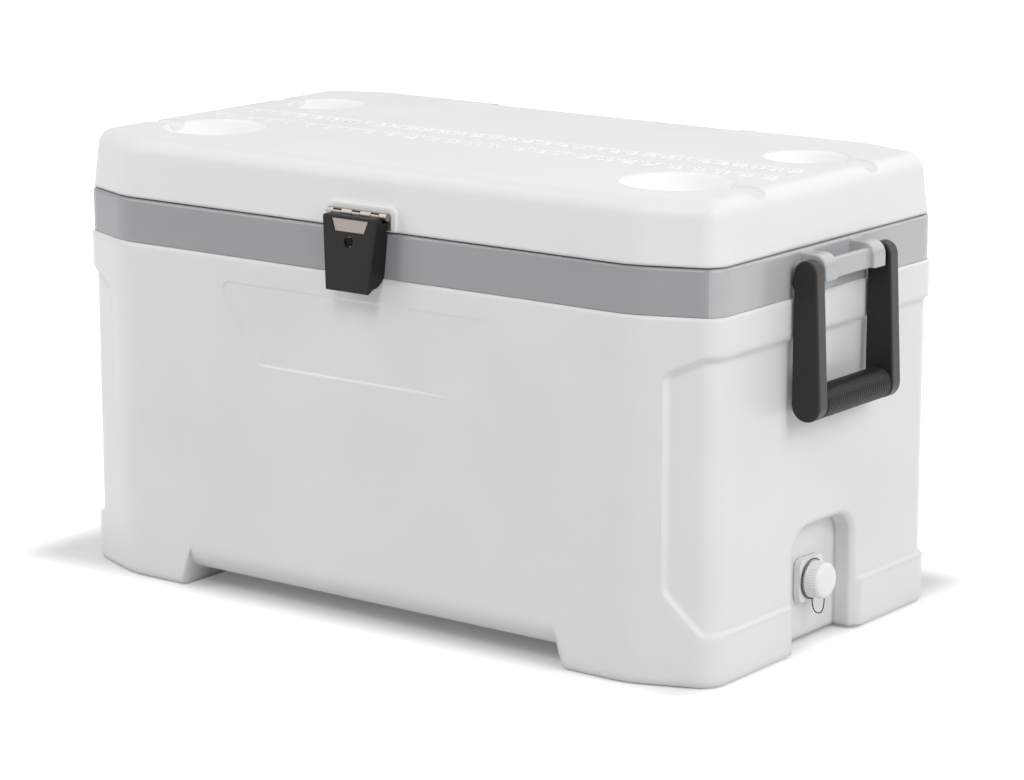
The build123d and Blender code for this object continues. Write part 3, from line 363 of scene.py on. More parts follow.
def new_group(name, inputs, outputs):
    """An empty shader group with named sockets: name to (socket type, default)."""
    tree = bpy.data.node_groups.new(name, "ShaderNodeTree")
    for label, (kind, default) in inputs.items():
        socket = tree.interface.new_socket(label, in_out="INPUT", socket_type=kind)
        if default is not None:
            socket.default_value = default
    for label, kind in outputs.items():
        tree.interface.new_socket(label, in_out="OUTPUT", socket_type=kind)
    return tree, tree.nodes.new("NodeGroupInput"), tree.nodes.new("NodeGroupOutput")


def moulded_skin_group():
    """Moulded plastic. Tone: the colour, drifting towards a second one with slow noise and fine specks.
    Roughness: a middle value that wanders by a spread. Height: a fine grain on a slow waviness."""
    tree, given, out = new_group(
        "moulded_skin",
        {
            "Vector": ("NodeSocketVector", None),
            "Colour": ("NodeSocketColor", (0.8, 0.8, 0.8, 1)),
            "Drift Colour": ("NodeSocketColor", (0.7, 0.7, 0.7, 1)),
            "Grain Scale": ("NodeSocketFloat", 900.0),
            "Wave Scale": ("NodeSocketFloat", 9.0),
            "Wave Share": ("NodeSocketFloat", 0.5),
            "Roughness": ("NodeSocketFloat", 0.4),
            "Roughness Spread": ("NodeSocketFloat", 0.12),
        },
        {"Colour": "NodeSocketColor", "Roughness": "NodeSocketFloat", "Height": "NodeSocketFloat"},
    )
    grain = add_node(tree, "ShaderNodeTexNoise", Detail=2.0, Roughness=0.55)
    wave = add_node(tree, "ShaderNodeTexNoise", Detail=3.0, Roughness=0.5)
    speck = add_node(tree, "ShaderNodeMapRange", From_Min=SPECK_START, From_Max=SPECK_FULL,
                     To_Max=SPECK_SHARE)
    drift = add_node(tree, "ShaderNodeMapRange", From_Min=DRIFT_START, From_Max=DRIFT_FULL)
    both = add_node(tree, "ShaderNodeMath", "ADD")
    both.use_clamp = True
    tone = colour_mix(tree)
    centred = add_node(tree, "ShaderNodeMath", "SUBTRACT")
    centred.inputs[1].default_value = NOISE_MIDDLE
    spread = add_node(tree, "ShaderNodeMath", "MULTIPLY_ADD")
    raised = tree.nodes.new("ShaderNodeMix")
    link = tree.links.new
    for noise, scale in ((grain, "Grain Scale"), (wave, "Wave Scale")):
        link(given.outputs["Vector"], noise.inputs["Vector"])
        link(given.outputs[scale], noise.inputs["Scale"])
    link(grain.outputs["Fac"], speck.inputs["Value"])
    link(wave.outputs["Fac"], drift.inputs["Value"])
    link(speck.outputs["Result"], both.inputs[0])
    link(drift.outputs["Result"], both.inputs[1])
    link(both.outputs["Value"], tone.inputs["Factor"])
    link(given.outputs["Colour"], tone.inputs["A"])
    link(given.outputs["Drift Colour"], tone.inputs["B"])
    link(wave.outputs["Fac"], centred.inputs[0])
    link(centred.outputs["Value"], spread.inputs[0])
    link(given.outputs["Roughness Spread"], spread.inputs[1])
    link(given.outputs["Roughness"], spread.inputs[2])
    link(given.outputs["Wave Share"], raised.inputs["Factor"])
    link(grain.outputs["Fac"], raised.inputs["A"])
    link(wave.outputs["Fac"], raised.inputs["B"])
    link(tone.outputs["Result"], out.inputs["Colour"])
    link(spread.outputs["Value"], out.inputs["Roughness"])
    link(raised.outputs["Result"], out.inputs["Height"])
    return tree


def brushed_metal_group():
    """Brushed sheet metal: noise drawn out along one axis by the Lay vector's scales, as streaks
    in the tone, in the roughness and in the height."""
    tree, given, out = new_group(
        "brushed_metal",
        {
            "Vector": ("NodeSocketVector", None),
            "Lay": ("NodeSocketVector", (40.0, 1500.0, 1500.0)),
            "Colour": ("NodeSocketColor", (0.6, 0.6, 0.6, 1)),
            "Streak Colour": ("NodeSocketColor", (0.4, 0.4, 0.4, 1)),
            "Roughness": ("NodeSocketFloat", 0.3),
            "Roughness Spread": ("NodeSocketFloat", 0.2),
        },
        {"Colour": "NodeSocketColor", "Roughness": "NodeSocketFloat", "Height": "NodeSocketFloat"},
    )
    stretch = add_node(tree, "ShaderNodeVectorMath", "MULTIPLY")
    streak = add_node(tree, "ShaderNodeTexNoise", Scale=1.0, Detail=4.0, Roughness=0.6)
    tone = colour_mix(tree)
    spread = add_node(tree, "ShaderNodeMath", "MULTIPLY_ADD")
    link = tree.links.new
    link(given.outputs["Vector"], stretch.inputs[0])
    link(given.outputs["Lay"], stretch.inputs[1])
    link(stretch.outputs["Vector"], streak.inputs["Vector"])
    link(streak.outputs["Fac"], tone.inputs["Factor"])
    link(given.outputs["Colour"], tone.inputs["A"])
    link(given.outputs["Streak Colour"], tone.inputs["B"])
    link(streak.outputs["Fac"], spread.inputs[0])
    link(given.outputs["Roughness Spread"], spread.inputs[1])
    link(given.outputs["Roughness"], spread.inputs[2])
    link(tone.outputs["Result"], out.inputs["Colour"])
    link(spread.outputs["Value"], out.inputs["Roughness"])
    link(streak.outputs["Fac"], out.inputs["Height"])
    return tree


def cup_light_group():
    """1 inside the cup holders and 0 outside them, where their white is brightened as painted light: in
    plan, a point's distance from the axis of a cup, sqrt((|x| - X)**2 + (y - Y)**2), against the cup's
    radius, with a soft edge."""
    tree, _, out = new_group("cup_light", {}, {"Mask": "NodeSocketFloat"})
    place = tree.nodes.new("ShaderNodeTexCoord")
    split = tree.nodes.new("ShaderNodeSeparateXYZ")
    plan = tree.nodes.new("ShaderNodeCombineXYZ")
    either = add_node(tree, "ShaderNodeMath", "MAXIMUM")
    link = tree.links.new
    link(place.outputs["Object"], split.inputs[0])
    link(mirrored(tree, place.outputs["Object"])["X"], plan.inputs["X"])
    link(split.outputs["Y"], plan.inputs["Y"])
    for socket, (x, y, radius) in zip(either.inputs, CUPS):
        apart = add_node(tree, "ShaderNodeVectorMath", "DISTANCE")
        apart.inputs[1].default_value = (x, y, 0)
        inside = add_node(tree, "ShaderNodeMapRange", To_Min=1.0, To_Max=0.0,
                          From_Min=radius + CUP_EDGE, From_Max=radius + CUP_FADE)
        link(plan.outputs["Vector"], apart.inputs[0])
        link(apart.outputs["Value"], inside.inputs["Value"])
        link(inside.outputs["Result"], socket)
    link(either.outputs["Value"], out.inputs["Mask"])
    return tree


def painted_sheen_group():
    """How squarely a face looks along X: |x| of its normal, in the object's own frame, from 0 at Low to
    1 at High, and 1 all over beyond the Reach along X. It marks where a lighter colour is painted on as
    sheen and reflection."""
    inputs = {
        "Low": ("NodeSocketFloat", 0.5),
        "High": ("NodeSocketFloat", 0.95),
        "Reach": ("NodeSocketFloat", 10.0),
    }
    tree, given, out = new_group("painted_sheen", inputs, {"Mask": "NodeSocketFloat"})
    place = tree.nodes.new("ShaderNodeTexCoord")
    turned_out = tree.nodes.new("ShaderNodeMapRange")
    turned_out.interpolation_type = "SMOOTHSTEP"
    beyond = add_node(tree, "ShaderNodeMath", "GREATER_THAN")
    either = add_node(tree, "ShaderNodeMath", "MAXIMUM")
    link = tree.links.new
    link(mirrored(tree, place.outputs["Normal"])["X"], turned_out.inputs["Value"])
    link(mirrored(tree, place.outputs["Object"])["X"], beyond.inputs[0])
    link(given.outputs["Low"], turned_out.inputs["From Min"])
    link(given.outputs["High"], turned_out.inputs["From Max"])
    link(given.outputs["Reach"], beyond.inputs[1])
    link(turned_out.outputs["Result"], either.inputs[0])
    link(beyond.outputs["Value"], either.inputs[1])
    link(either.outputs["Value"], out.inputs["Mask"])
    return tree


def panel_mask_group():
    """0 round the front panel, where the border has its own shape, and 1 away from it, by the distance
    from a box about the panel."""
    tree, _, out = new_group("panel_mask", {}, {"Mask": "NodeSocketFloat"})
    corners = np.array(PANEL_CORNERS) * MM
    low, high = corners.min(0), corners.max(0)
    middle = (0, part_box("body_shell")[0].y, (low[1] + high[1]) / 2)
    half = (high[0], PANEL_ZONE_DEPTH * MM, (high[1] - low[1]) / 2)
    away = add_node(tree, "ShaderNodeMapRange", From_Min=PANEL_ZONE_EDGE * MM, From_Max=PANEL_ZONE_END * MM)
    tree.links.new(box_distance(tree, middle, half), away.inputs["Value"])
    tree.links.new(away.outputs["Result"], out.inputs["Mask"])
    return tree


MOULDED_SKIN = moulded_skin_group()
BRUSHED_METAL = brushed_metal_group()
CUP_LIGHT_MASK = cup_light_group()
PAINTED_SHEEN_MASK = painted_sheen_group()
PANEL_MASK = panel_mask_group()


# Finishes

def finish(name, group, values, bump_height, soft_edge=0.0, **shader_values):
    """A material: Object coordinates through a finish group into colour, roughness and a bump of
    the given height in metres, over edges that are shaded round to the soft_edge radius. What is the
    same all over is set on the shader itself."""
    made = bpy.data.materials.new(name)
    made.use_nodes = True
    tree = made.node_tree
    shader = tree.nodes["Principled BSDF"]
    for label, value in shader_values.items():
        shader.inputs[label.replace("_", " ")].default_value = value
    place = tree.nodes.new("ShaderNodeTexCoord")
    skin = add_group(tree, group, values)
    bump = add_node(tree, "ShaderNodeBump", Strength=1.0, Distance=bump_height)
    link = tree.links.new
    link(place.outputs["Object"], skin.inputs["Vector"])
    link(skin.outputs["Colour"], shader.inputs["Base Color"])
    link(skin.outputs["Roughness"], shader.inputs["Roughness"])
    link(skin.outputs["Height"], bump.inputs["Height"])
    link(bump.outputs["Normal"], shader.inputs["Normal"])
    if soft_edge:
        edge = add_node(tree, "ShaderNodeBevel", Radius=soft_edge)
        edge.samples = EDGE_SAMPLES
        link(edge.outputs["Normal"], bump.inputs["Normal"])
    return made


def plastic(name, colour, drift, roughness, spread=0.12, grain=900.0, wave=9.0, share=0.5, bump=0.06,
            edge=0.0, **shader):
    """A moulded plastic or rubber; colours are linear (red, green, blue), bump and edge in millimetres."""
    values = {
        "Colour": (*colour, 1.0),
        "Drift Colour": (*drift, 1.0),
        "Roughness": roughness,
        "Roughness Spread": spread,
        "Grain Scale": grain,
        "Wave Scale": wave,
        "Wave Share": share,
    }
    return finish(name, MOULDED_SKIN, values, bump * MM, edge * MM, **shader)


def metal(name, colour, streak, lay, roughness=0.22, spread=0.25, bump=0.02):
    """A brushed metal; lay gives how finely the streaks repeat along X, Y and Z, per metre."""
    values = {
        "Colour": (*colour, 1.0),
        "Streak Colour": (*streak, 1.0),
        "Lay": lay,
        "Roughness": roughness,
        "Roughness Spread": spread,
    }
    return finish(name, BRUSHED_METAL, values, bump * MM, Metallic=1.0)


def second_colour(made, mask_group, colour, **limits):
    """Gives a finish another colour where a mask group says so."""
    tree = made.node_tree
    shader = tree.nodes["Principled BSDF"]
    plain = shader.inputs["Base Color"].links[0].from_socket
    mask = add_group(tree, mask_group, limits)
    tone = colour_mix(tree)
    tone.inputs["B"].default_value = (*colour, 1.0)
    link = tree.links.new
    link(mask.outputs["Mask"], tone.inputs["Factor"])
    link(plain, tone.inputs["A"])
    link(tone.outputs["Result"], shader.inputs["Base Color"])


def fade_edges(made, mask_group):
    """Lets a finish's soft edges fade out where a mask group falls to 0."""
    tree = made.node_tree
    bump = tree.nodes["Principled BSDF"].inputs["Normal"].links[0].from_node
    edge = bump.inputs["Normal"].links[0].from_node
    mask = add_group(tree, mask_group, {})
    radius = add_node(tree, "ShaderNodeMath", "MULTIPLY")
    radius.inputs[1].default_value = edge.inputs["Radius"].default_value
    tree.links.new(mask.outputs["Mask"], radius.inputs[0])
    tree.links.new(radius.outputs["Value"], edge.inputs["Radius"])


WHITE_SHELL = plastic("white_shell", SHELL_WHITE, SHELL_DRIFT, 0.36, share=0.55, bump=0.10, edge=SHELL_EDGE)
fade_edges(WHITE_SHELL, PANEL_MASK)
WHITE_BORDER = plastic("white_border", SHELL_WHITE, SHELL_DRIFT, 0.36, share=0.55, bump=0.10)
# painted light: the lid's white is lighter than the tub's, for the brighter light on its top
WHITE_LID = plastic("white_lid", (0.83, 0.83, 0.825), (0.81, 0.81, 0.805), 0.40, share=0.55, bump=0.10,
                    edge=LID_EDGE, Specular_IOR_Level=0.32)
# painted light: the floors and walls of the cup holders get a brighter white than the lid
second_colour(WHITE_LID, CUP_LIGHT_MASK, (0.92, 0.92, 0.92))
# painted highlight: the raised ruler marks are whiter than the lid for the light they catch
RULER_HIGHLIGHT_WHITE = plastic("ruler_highlight_white", (0.97, 0.97, 0.97), (0.95, 0.95, 0.95), 0.40, bump=0.02)
WHITE_LINER = plastic("white_liner", (0.80, 0.80, 0.79), (0.77, 0.77, 0.76), 0.40, bump=0.08)
WHITE_FITTING = plastic("white_fitting", (0.87, 0.87, 0.86), (0.84, 0.84, 0.83), 0.32, bump=0.03)
GREY_COLLAR = plastic("grey_collar", (0.325, 0.33, 0.34), (0.31, 0.315, 0.325), 0.22, bump=0.03,
                      edge=COLLAR_EDGE)
# painted reflection: the collar's end faces, and all of it beyond the Reach, lugs included, get a lighter
# grey for the sheen they catch
second_colour(GREY_COLLAR, PAINTED_SHEEN_MASK, (0.45, 0.46, 0.465), Low=0.45, High=0.95, Reach=0.36)
BLACK_LATCH = plastic("black_latch", (0.010, 0.009, 0.009), (0.015, 0.014, 0.013), 0.40, grain=1800.0,
                      bump=0.03, edge=LATCH_EDGE, Specular_IOR_Level=0.21)
BLACK_HANDLE = plastic("black_handle", (0.022, 0.021, 0.020), (0.019, 0.018, 0.017), 0.42, grain=1800.0,
                       bump=0.03, edge=HANDLE_EDGE, Specular_IOR_Level=0.24)
# painted reflection: the arms' faces that look along X get a lighter brown-grey sheen
second_colour(BLACK_HANDLE, PAINTED_SHEEN_MASK, (0.060, 0.055, 0.050), Low=0.75)
GRIP_RUBBER = plastic("grip_rubber", (0.008, 0.0075, 0.007), (0.013, 0.012, 0.011), 0.36, grain=2600.0,
                      bump=0.02, Specular_IOR_Level=0.28)
SEAL_RUBBER = plastic("seal_rubber", (0.60, 0.60, 0.58), (0.52, 0.52, 0.50), 0.5, bump=0.03)
TETHER_PLASTIC = plastic("tether_plastic", (0.015, 0.015, 0.015), (0.024, 0.024, 0.024), 0.4, bump=0.01)
FOAM = plastic("foam", (0.85, 0.78, 0.60), (0.74, 0.66, 0.48), 0.9, grain=700.0, share=0.2, bump=0.5)
LEAF_STEEL = metal("leaf_steel", (0.36, 0.325, 0.295), (0.25, 0.225, 0.205), (40.0, 1600.0, 1600.0))
# painted shade: the rivet in the padlock hole is near black so that the hole reads dark
RIVET_SHADE_STEEL = metal("rivet_shade_steel", (0.014, 0.013, 0.013), (0.008, 0.008, 0.007), (900.0, 900.0, 900.0),
                   0.3, 0.2)
SCREW_STEEL = metal("screw_steel", (0.62, 0.60, 0.58), (0.46, 0.44, 0.42), (900.0, 900.0, 900.0), 0.2, 0.2)

SLOT_FINISHES = {
    "shell_white": WHITE_SHELL,
    "liner_white": WHITE_LINER,
    "foam": FOAM,
    "collar_grey": GREY_COLLAR,
    "latch_black": BLACK_LATCH,
    "handle_black": BLACK_HANDLE,
    "grip_rubber": GRIP_RUBBER,
    "hinge_steel": LEAF_STEEL,
    "screw_steel": SCREW_STEEL,
    "drain_white": WHITE_FITTING,
    "seal_rubber": SEAL_RUBBER,
    "tether_black": TETHER_PLASTIC,
}
NODE_FINISHES = {"lid_shell": WHITE_LID, "latch_rivet": RIVET_SHADE_STEEL}


def dress_nodes():
    """Gives every CAD node its own finish, or that of its material slot in the record."""
    for part in frame["record"]["subparts"]:
        mesh = NODES[part["node"]].data
        mesh.materials.clear()
        mesh.materials.append(NODE_FINISHES.get(part["node"], SLOT_FINISHES[part["material_slot"]]))


# Ruler on the lid

def number_mesh(text):
    """A number's filled outline, raised evenly about z = 0 and centred on the origin."""
    curve = bpy.data.curves.new("number", "FONT")
    curve.body = text
    curve.size = DIGIT_HEIGHT / FONT_CAPITAL
    curve.align_x = "CENTER"
    curve.align_y = "CENTER"
    curve.extrude = RULER_PROUD
    curve.resolution_u = DIGIT_STEPS
    return curve_mesh(curve)


def tick_bars(x, y_far, length, z):
    """Raised bars, one for each x: a box TICK_WIDTH wide that runs from y_far back by its length, with
    corners at place + (i, j, k) * size, where i is -1/2 or 1/2, j is -1 or 0 and k is -1 or 1."""
    k, j, i = np.meshgrid([-1, 1], [-1, 0], [-0.5, 0.5], indexing="ij")
    corner = np.stack([i, j, k], -1).reshape(-1, 3)
    place = np.stack([x, np.full_like(x, y_far), np.full_like(x, z)], -1)
    size = np.stack([np.full_like(x, TICK_WIDTH), length, np.full_like(x, RULER_PROUD)], -1)
    points = place[:, None] + corner * size[:, None]
    faces = np.array([(0, 2, 3, 1), (4, 5, 7, 6), (0, 1, 5, 4), (2, 6, 7, 3), (0, 4, 6, 2), (1, 3, 7, 5)])
    faces = faces + len(corner) * np.arange(len(x))[:, None, None]
    mesh = bpy.data.meshes.new("ticks")
    mesh.from_pydata(points.reshape(-1, 3).tolist(), [], faces.reshape(-1, 4).tolist())
    return mesh


def ruler_row(name, pitch, count, step, digit_y, tick_y):
    """One row of the ruler: numbers step, 2 step and so on, a pitch apart, with a long tick at each
    number and short ones between that divide the pitch into parts."""
    lid_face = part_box("lid_shell")[1].z
    marks = []
    for number in range(1, count + 1):
        digits = number_mesh(str(number * step))
        digits.transform(Matrix.Translation((RULER_START + number * pitch, digit_y, lid_face)))
        marks.append(digits)
    index = np.arange(RULER_PARTS * count + 1)
    length = np.where(index % RULER_PARTS == 0, LONG_TICK, SHORT_TICK)
    marks.append(tick_bars(RULER_START + index * pitch / RULER_PARTS, tick_y, length, lid_face))
    return piece(name, joined(name, marks), RULER_HIGHLIGHT_WHITE, "lid")


# Front panel

def inward_normals(corners):
    """The inward normals of an outline's edges: the direction of each edge, a quarter turn to the left."""
    ahead = np.roll(corners, -1, axis=0) - corners
    ahead /= np.linalg.norm(ahead, axis=1)[:, None]
    return np.stack([-ahead[:, 1], ahead[:, 0]], -1)


def rounded_outline(corners, radius):
    """A convex outline with its corners rounded off: about each corner's centre, corner + radius *
    (a + b) / (1 + a . b) with a and b the inward normals of its two edges, an arc from edge to edge."""
    inward = inward_normals(corners)
    before = np.roll(inward, 1, axis=0)
    across = (before * inward).sum(1)
    centre = corners + radius * (before + inward) / (1 + across)[:, None]
    start = np.arctan2(-before[:, 1], -before[:, 0])
    turn = np.arccos(np.clip(across, -1, 1))
    angle = start[:, None] + turn[:, None] * np.linspace(0, 1, PANEL_ARC_STEPS)
    arc = np.stack([np.cos(angle), np.sin(angle)], -1)
    return (centre[:, None] + radius * arc).reshape(-1, 2)


def drawn_in(corners, offsets):
    """The corners of an outline whose edges have moved inwards, each by its own offset: the crossings
    of neighbouring edges, from a . p = c on one and b . p = d on the other."""
    inward = inward_normals(corners)
    level = (inward * corners).sum(1) + offsets
    sides = np.stack([np.roll(inward, 1, axis=0), inward], 1)
    return np.linalg.solve(sides, np.stack([np.roll(level, 1), level], -1)[..., None])[..., 0]


def panel_border():
    """The soft border of the front panel, from the outline on the tub's face (s = 0) to the outline
    drawn in on its floor (s = 1), with depth * s * s * (3 - 2 * s), closed behind by the recess's wall."""
    corners = np.array(PANEL_CORNERS)
    outer = rounded_outline(corners, PANEL_ROUND)
    inner = rounded_outline(drawn_in(corners, np.array(PANEL_BORDER)), PANEL_FLOOR_ROUND)
    s = np.linspace(0, 1, PANEL_SLOPE_STEPS)[:, None, None]
    across = outer * (1 - s) + inner * s
    depth = (PANEL_DEPTH - PANEL_SKIN) * s * s * (3 - 2 * s) + 0 * across[..., :1]
    slope = np.concatenate([across, depth], -1)
    behind = np.stack([across[-1], across[0]])
    floor = np.full((2, len(outer), 1), PANEL_DEPTH + PANEL_SKIN)
    rows = np.concatenate([slope, np.concatenate([behind, floor], -1)]) * MM
    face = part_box("body_shell")[0].y
    points = np.stack([rows[..., 0], face + rows[..., 2], rows[..., 1]], -1)
    mesh = surface("front_panel_border", points, around=True, along=True, sharp=BORDER_FOLD)
    return piece("front_panel_border", mesh, WHITE_BORDER, "chest")


# Handle grips

def ribbed_sleeve(name, node, body):
    """A sleeve turned about the crossbar. With t running from 0 to 1 along it, its outer radius is
    R - depth * (1 - |sin(pi * rings * t)|)**2 less a chamfer at each end, and it closes on its bore."""
    low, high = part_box(node)
    middle = (low + high) / 2
    radius = (high.z - low.z) / 2
    t = np.linspace(0, 1, GRIP_RINGS * GRIP_RING_STEPS + 1)
    along = (t - 0.5) * (high.y - low.y)
    ring = 1 - np.abs(np.sin(np.pi * GRIP_RINGS * t))
    from_end = np.minimum(t, 1 - t) * (high.y - low.y)
    chamfer = np.clip(GRIP_CHAMFER - from_end, 0, None) * GRIP_CHAMFER_SLOPE
    outer = radius - GRIP_RING_DEPTH * ring**2 - chamfer
    bore = np.array([(along[-1], GRIP_BORE), (along[0], GRIP_BORE)])
    profile = np.concatenate([np.stack([along, outer], -1), bore])
    rings = turned(profile, GRIP_SIDES)
    points = np.stack([rings[..., 1], rings[..., 0], rings[..., 2]], -1) + np.array(middle)
    mesh = surface(name, points, around=True, along=True, sharp=RIB_FOLD)
    return piece(name, mesh, GRIP_RUBBER, body, [node])


# Screws

def screw_points(seat_y, head_y, tip_y, x, z):
    """A screw along Y: a domed head with a cross recess, which at radius r and angle a lies below its top
    by dome * (r / R)**2, and by the recess's depth too where an arm of the cross covers that point,
    then its rim, its underside and its shank to the tip."""
    outward = math.copysign(1.0, head_y - tip_y)
    angle = np.linspace(0, 2 * np.pi, SCREW_SIDES, endpoint=False)
    r = np.linspace(0, 1, SCREW_STEPS)[:, None] * SCREW_RADIUS
    u, v = np.abs(r * np.cos(angle)), np.abs(r * np.sin(angle))
    arms = [
        np.clip((CROSS_WIDTH - wide) / CROSS_SOFT, 0, 1) * np.clip((CROSS_LENGTH - long) / CROSS_SOFT, 0, 1)
        for wide, long in ((u, v), (v, u))
    ]
    height = -SCREW_DOME * (r / SCREW_RADIUS) ** 2 - CROSS_DEPTH * np.maximum(*arms)
    head = np.stack([r * np.cos(angle), head_y + outward * height, r * np.sin(angle)], -1)
    lower = np.array([
        (SCREW_RADIUS, seat_y),
        (SCREW_SHANK, seat_y),
        (SCREW_SHANK, tip_y + outward * SCREW_SHANK),
        (0.0, tip_y),
    ])
    ring = np.stack([
        lower[:, :1] * np.cos(angle),
        lower[:, 1:] + 0 * angle,
        lower[:, :1] * np.sin(angle),
    ], -1)
    return np.concatenate([head, ring]) + np.array([x, 0, z])


def screw_set(node, body, columns):
    """The screws of one node, one at each x, with the node's own reach and height."""
    low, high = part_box(node)
    front = abs(low.y) > abs(high.y)
    head_y, tip_y = (low.y, high.y) if front else (high.y, low.y)
    seat_y = head_y - math.copysign(SCREW_HEAD_HIGH, head_y)
    z = (low.z + high.z) / 2
    screws = [surface("screw", screw_points(seat_y, head_y, tip_y, x, z), around=True) for x in columns]
    name = node + "_turned"
    mesh = joined(name, screws)
    mesh.shade_smooth()
    mesh.set_sharp_from_angle(angle=math.radians(SCREW_FOLD))
    return piece(name, mesh, SCREW_STEEL, body, [node])


# Latch barrel

def barrel_slot_shade():
    """Thin dark patches of painted shade bent round the barrel of the latch: in section, an arc of the
    barrel's radius and one a little proud of it, between two angles above the level, closed at both ends."""
    low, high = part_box("latch_pin")
    axis = (low + high) / 2
    a = np.radians(np.linspace(SLOT_LOW, SLOT_HIGH, SLOT_STEPS))
    angle = np.concatenate([a, a[::-1]])
    radius = np.concatenate([0 * a + BARREL_RADIUS + SLOT_PROUD, 0 * a + BARREL_RADIUS - SLOT_PROUD])
    section = np.stack([axis.y - radius * np.cos(angle), axis.z + radius * np.sin(angle)], -1)
    rows = np.stack([0 * section + section.mean(0), section, section, 0 * section + section.mean(0)])
    along = np.array([-0.5, -0.5, 0.5, 0.5])[:, None, None] * SLOT_LENGTH + 0 * rows[..., :1]
    slots = [surface("slot", np.concatenate([along + x, rows], -1), around=True) for x in SLOT_PLACES]
    mesh = joined("latch_barrel_slot_shade", slots)
    return piece("latch_barrel_slot_shade", mesh, BLACK_LATCH, "lid")


# Drain cap

def moulded_cap():
    """The cap, turned about X. Its outer radius is R less a taper along it, then a quarter round to its
    flat end; over the ribbed part it also loses depth * (1 + cos(ribs * angle)) / 2."""
    low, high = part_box("drain_cap")
    length, radius = high.x - low.x, (high.z - low.z) / 2
    inside = [(length - CAP_END, 0), (length - CAP_END, CAP_BORE), (0, CAP_BORE), (0, radius - CAP_EDGE)]
    side = np.linspace(CAP_EDGE, length - CAP_ROUND, CAP_SIDE_STEPS)
    turn = np.linspace(0, np.pi / 2, CAP_ROUND_STEPS)
    shoulder = radius - CAP_TAPER
    profile = np.concatenate([
        inside,
        np.stack([side, radius - CAP_TAPER * side / side[-1]], -1),
        np.stack([length - CAP_ROUND * (1 - np.sin(turn)), shoulder - CAP_ROUND * (1 - np.cos(turn))], -1),
        [(length, 0)],
    ])
    along, reach = profile[:, :1], profile[:, 1:]
    ribbed = np.clip((along - CAP_RIB_START) / CAP_RIB_FADE, 0, 1)
    ribbed *= np.clip((length - CAP_ROUND - along) / CAP_RIB_FADE, 0, 1)
    ribbed[:len(inside)] = 0
    angle = np.linspace(0, 2 * np.pi, CAP_RIBS * CAP_RIB_STEPS, endpoint=False)
    reach = reach - ribbed * CAP_RIB_DEPTH * (1 + np.cos(CAP_RIBS * angle)) / 2
    points = np.stack([along + 0 * angle, reach * np.cos(angle), reach * np.sin(angle)], -1)
    points += np.array([low.x, (low.y + high.y) / 2, (low.z + high.z) / 2])
    mesh = surface("drain_cap_moulded", points, around=True, sharp=RIB_FOLD)
    return piece("drain_cap_moulded", mesh, WHITE_FITTING, "cap", ["drain_cap"])


def thin_ring(name, node, body, radius, material):
    """A ring of round section about the cap's axis, in the middle of the node that it stands for:
    section = (thick / 2) * (sin(b), cos(b)) about a circle of the given radius."""
    low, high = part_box(node)
    b = np.linspace(0, 2 * np.pi, RING_SECTION_SIDES, endpoint=False)
    profile = np.stack([RING_THICK / 2 * np.sin(b), radius + RING_THICK / 2 * np.cos(b)], -1)
    points = turned(profile, RING_SIDES) + np.array((low + high) / 2)
    return piece(name, surface(name, points, around=True, along=True), material, body, [node])


# Tether of the drain cap

def tether_knot():
    """A small knot where the tether is tied to its ring: a half circle, radius * (-cos(b), sin(b)),
    turned into a ball that is taller than it is wide."""
    b = np.linspace(0, np.pi, KNOT_STEPS)
    profile = np.stack([-np.cos(b), np.sin(b)], -1) * KNOT_RADIUS
    ball = turned(profile, KNOT_SIDES)[..., [2, 1, 0]]
    mesh = surface("tether_knot", ball * np.array(KNOT_SHAPE) + np.array(TETHER_ROUTE[0]), around=True)
    return piece("tether_knot", mesh, TETHER_PLASTIC, "chest")


def route_readings():
    """Points read evenly from the tether's smooth line, a NURBS spline over the route."""
    curve = bpy.data.curves.new("tether_line", "CURVE")
    curve.dimensions = "3D"
    curve.resolution_u = TETHER_READINGS
    line = curve.splines.new("NURBS")
    line.points.add(len(TETHER_ROUTE) - 1)
    line.points.foreach_set("co", np.c_[np.array(TETHER_ROUTE), np.ones(len(TETHER_ROUTE))].ravel())
    line.order_u = TETHER_ORDER
    line.use_endpoint_u = True
    mesh = curve_mesh(curve)
    points = np.empty(len(mesh.vertices) * 3)
    mesh.vertices.foreach_get("co", points)
    return points.reshape(-1, 3)


def tether_loop():
    """The tether: a tube whose rings stand square to the line, with the Y axis as one side of each ring:
    point = path + (diameter / 2) * (cos(angle) * side + sin(angle) * up)."""
    path = route_readings()
    ahead = np.gradient(path, axis=0)
    ahead /= np.linalg.norm(ahead, axis=1)[:, None]
    side = np.array([0.0, 1.0, 0.0])
    up = np.cross(ahead, side)
    angle = np.linspace(0, 2 * np.pi, TETHER_SIDES, endpoint=False)[:, None]
    ring = np.cos(angle) * side + np.sin(angle) * up[:, None]
    points = path[:, None] + ring * TETHER_DIAMETER / 2
    closed = np.concatenate([path[:1, None] + 0 * ring[:1], points, path[-1:, None] + 0 * ring[:1]])
    made = piece("drain_tether_loop", surface("drain_tether_loop", closed, around=True), TETHER_PLASTIC,
                 replaced=["drain_tether"])
    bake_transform(made)
    return made


# Floor, light and camera

def white_mask(tree):
    """1 for the rays that see the background: from the camera, off gloss and through glass."""
    path = tree.nodes.new("ShaderNodeLightPath")
    first = add_node(tree, "ShaderNodeMath", "MAXIMUM")
    second = add_node(tree, "ShaderNodeMath", "MAXIMUM")
    link = tree.links.new
    link(path.outputs["Is Camera Ray"], first.inputs[0])
    link(path.outputs["Is Glossy Ray"], first.inputs[1])
    link(first.outputs["Value"], second.inputs[0])
    link(path.outputs["Is Transmission Ray"], second.inputs[1])
    return second.outputs["Value"]


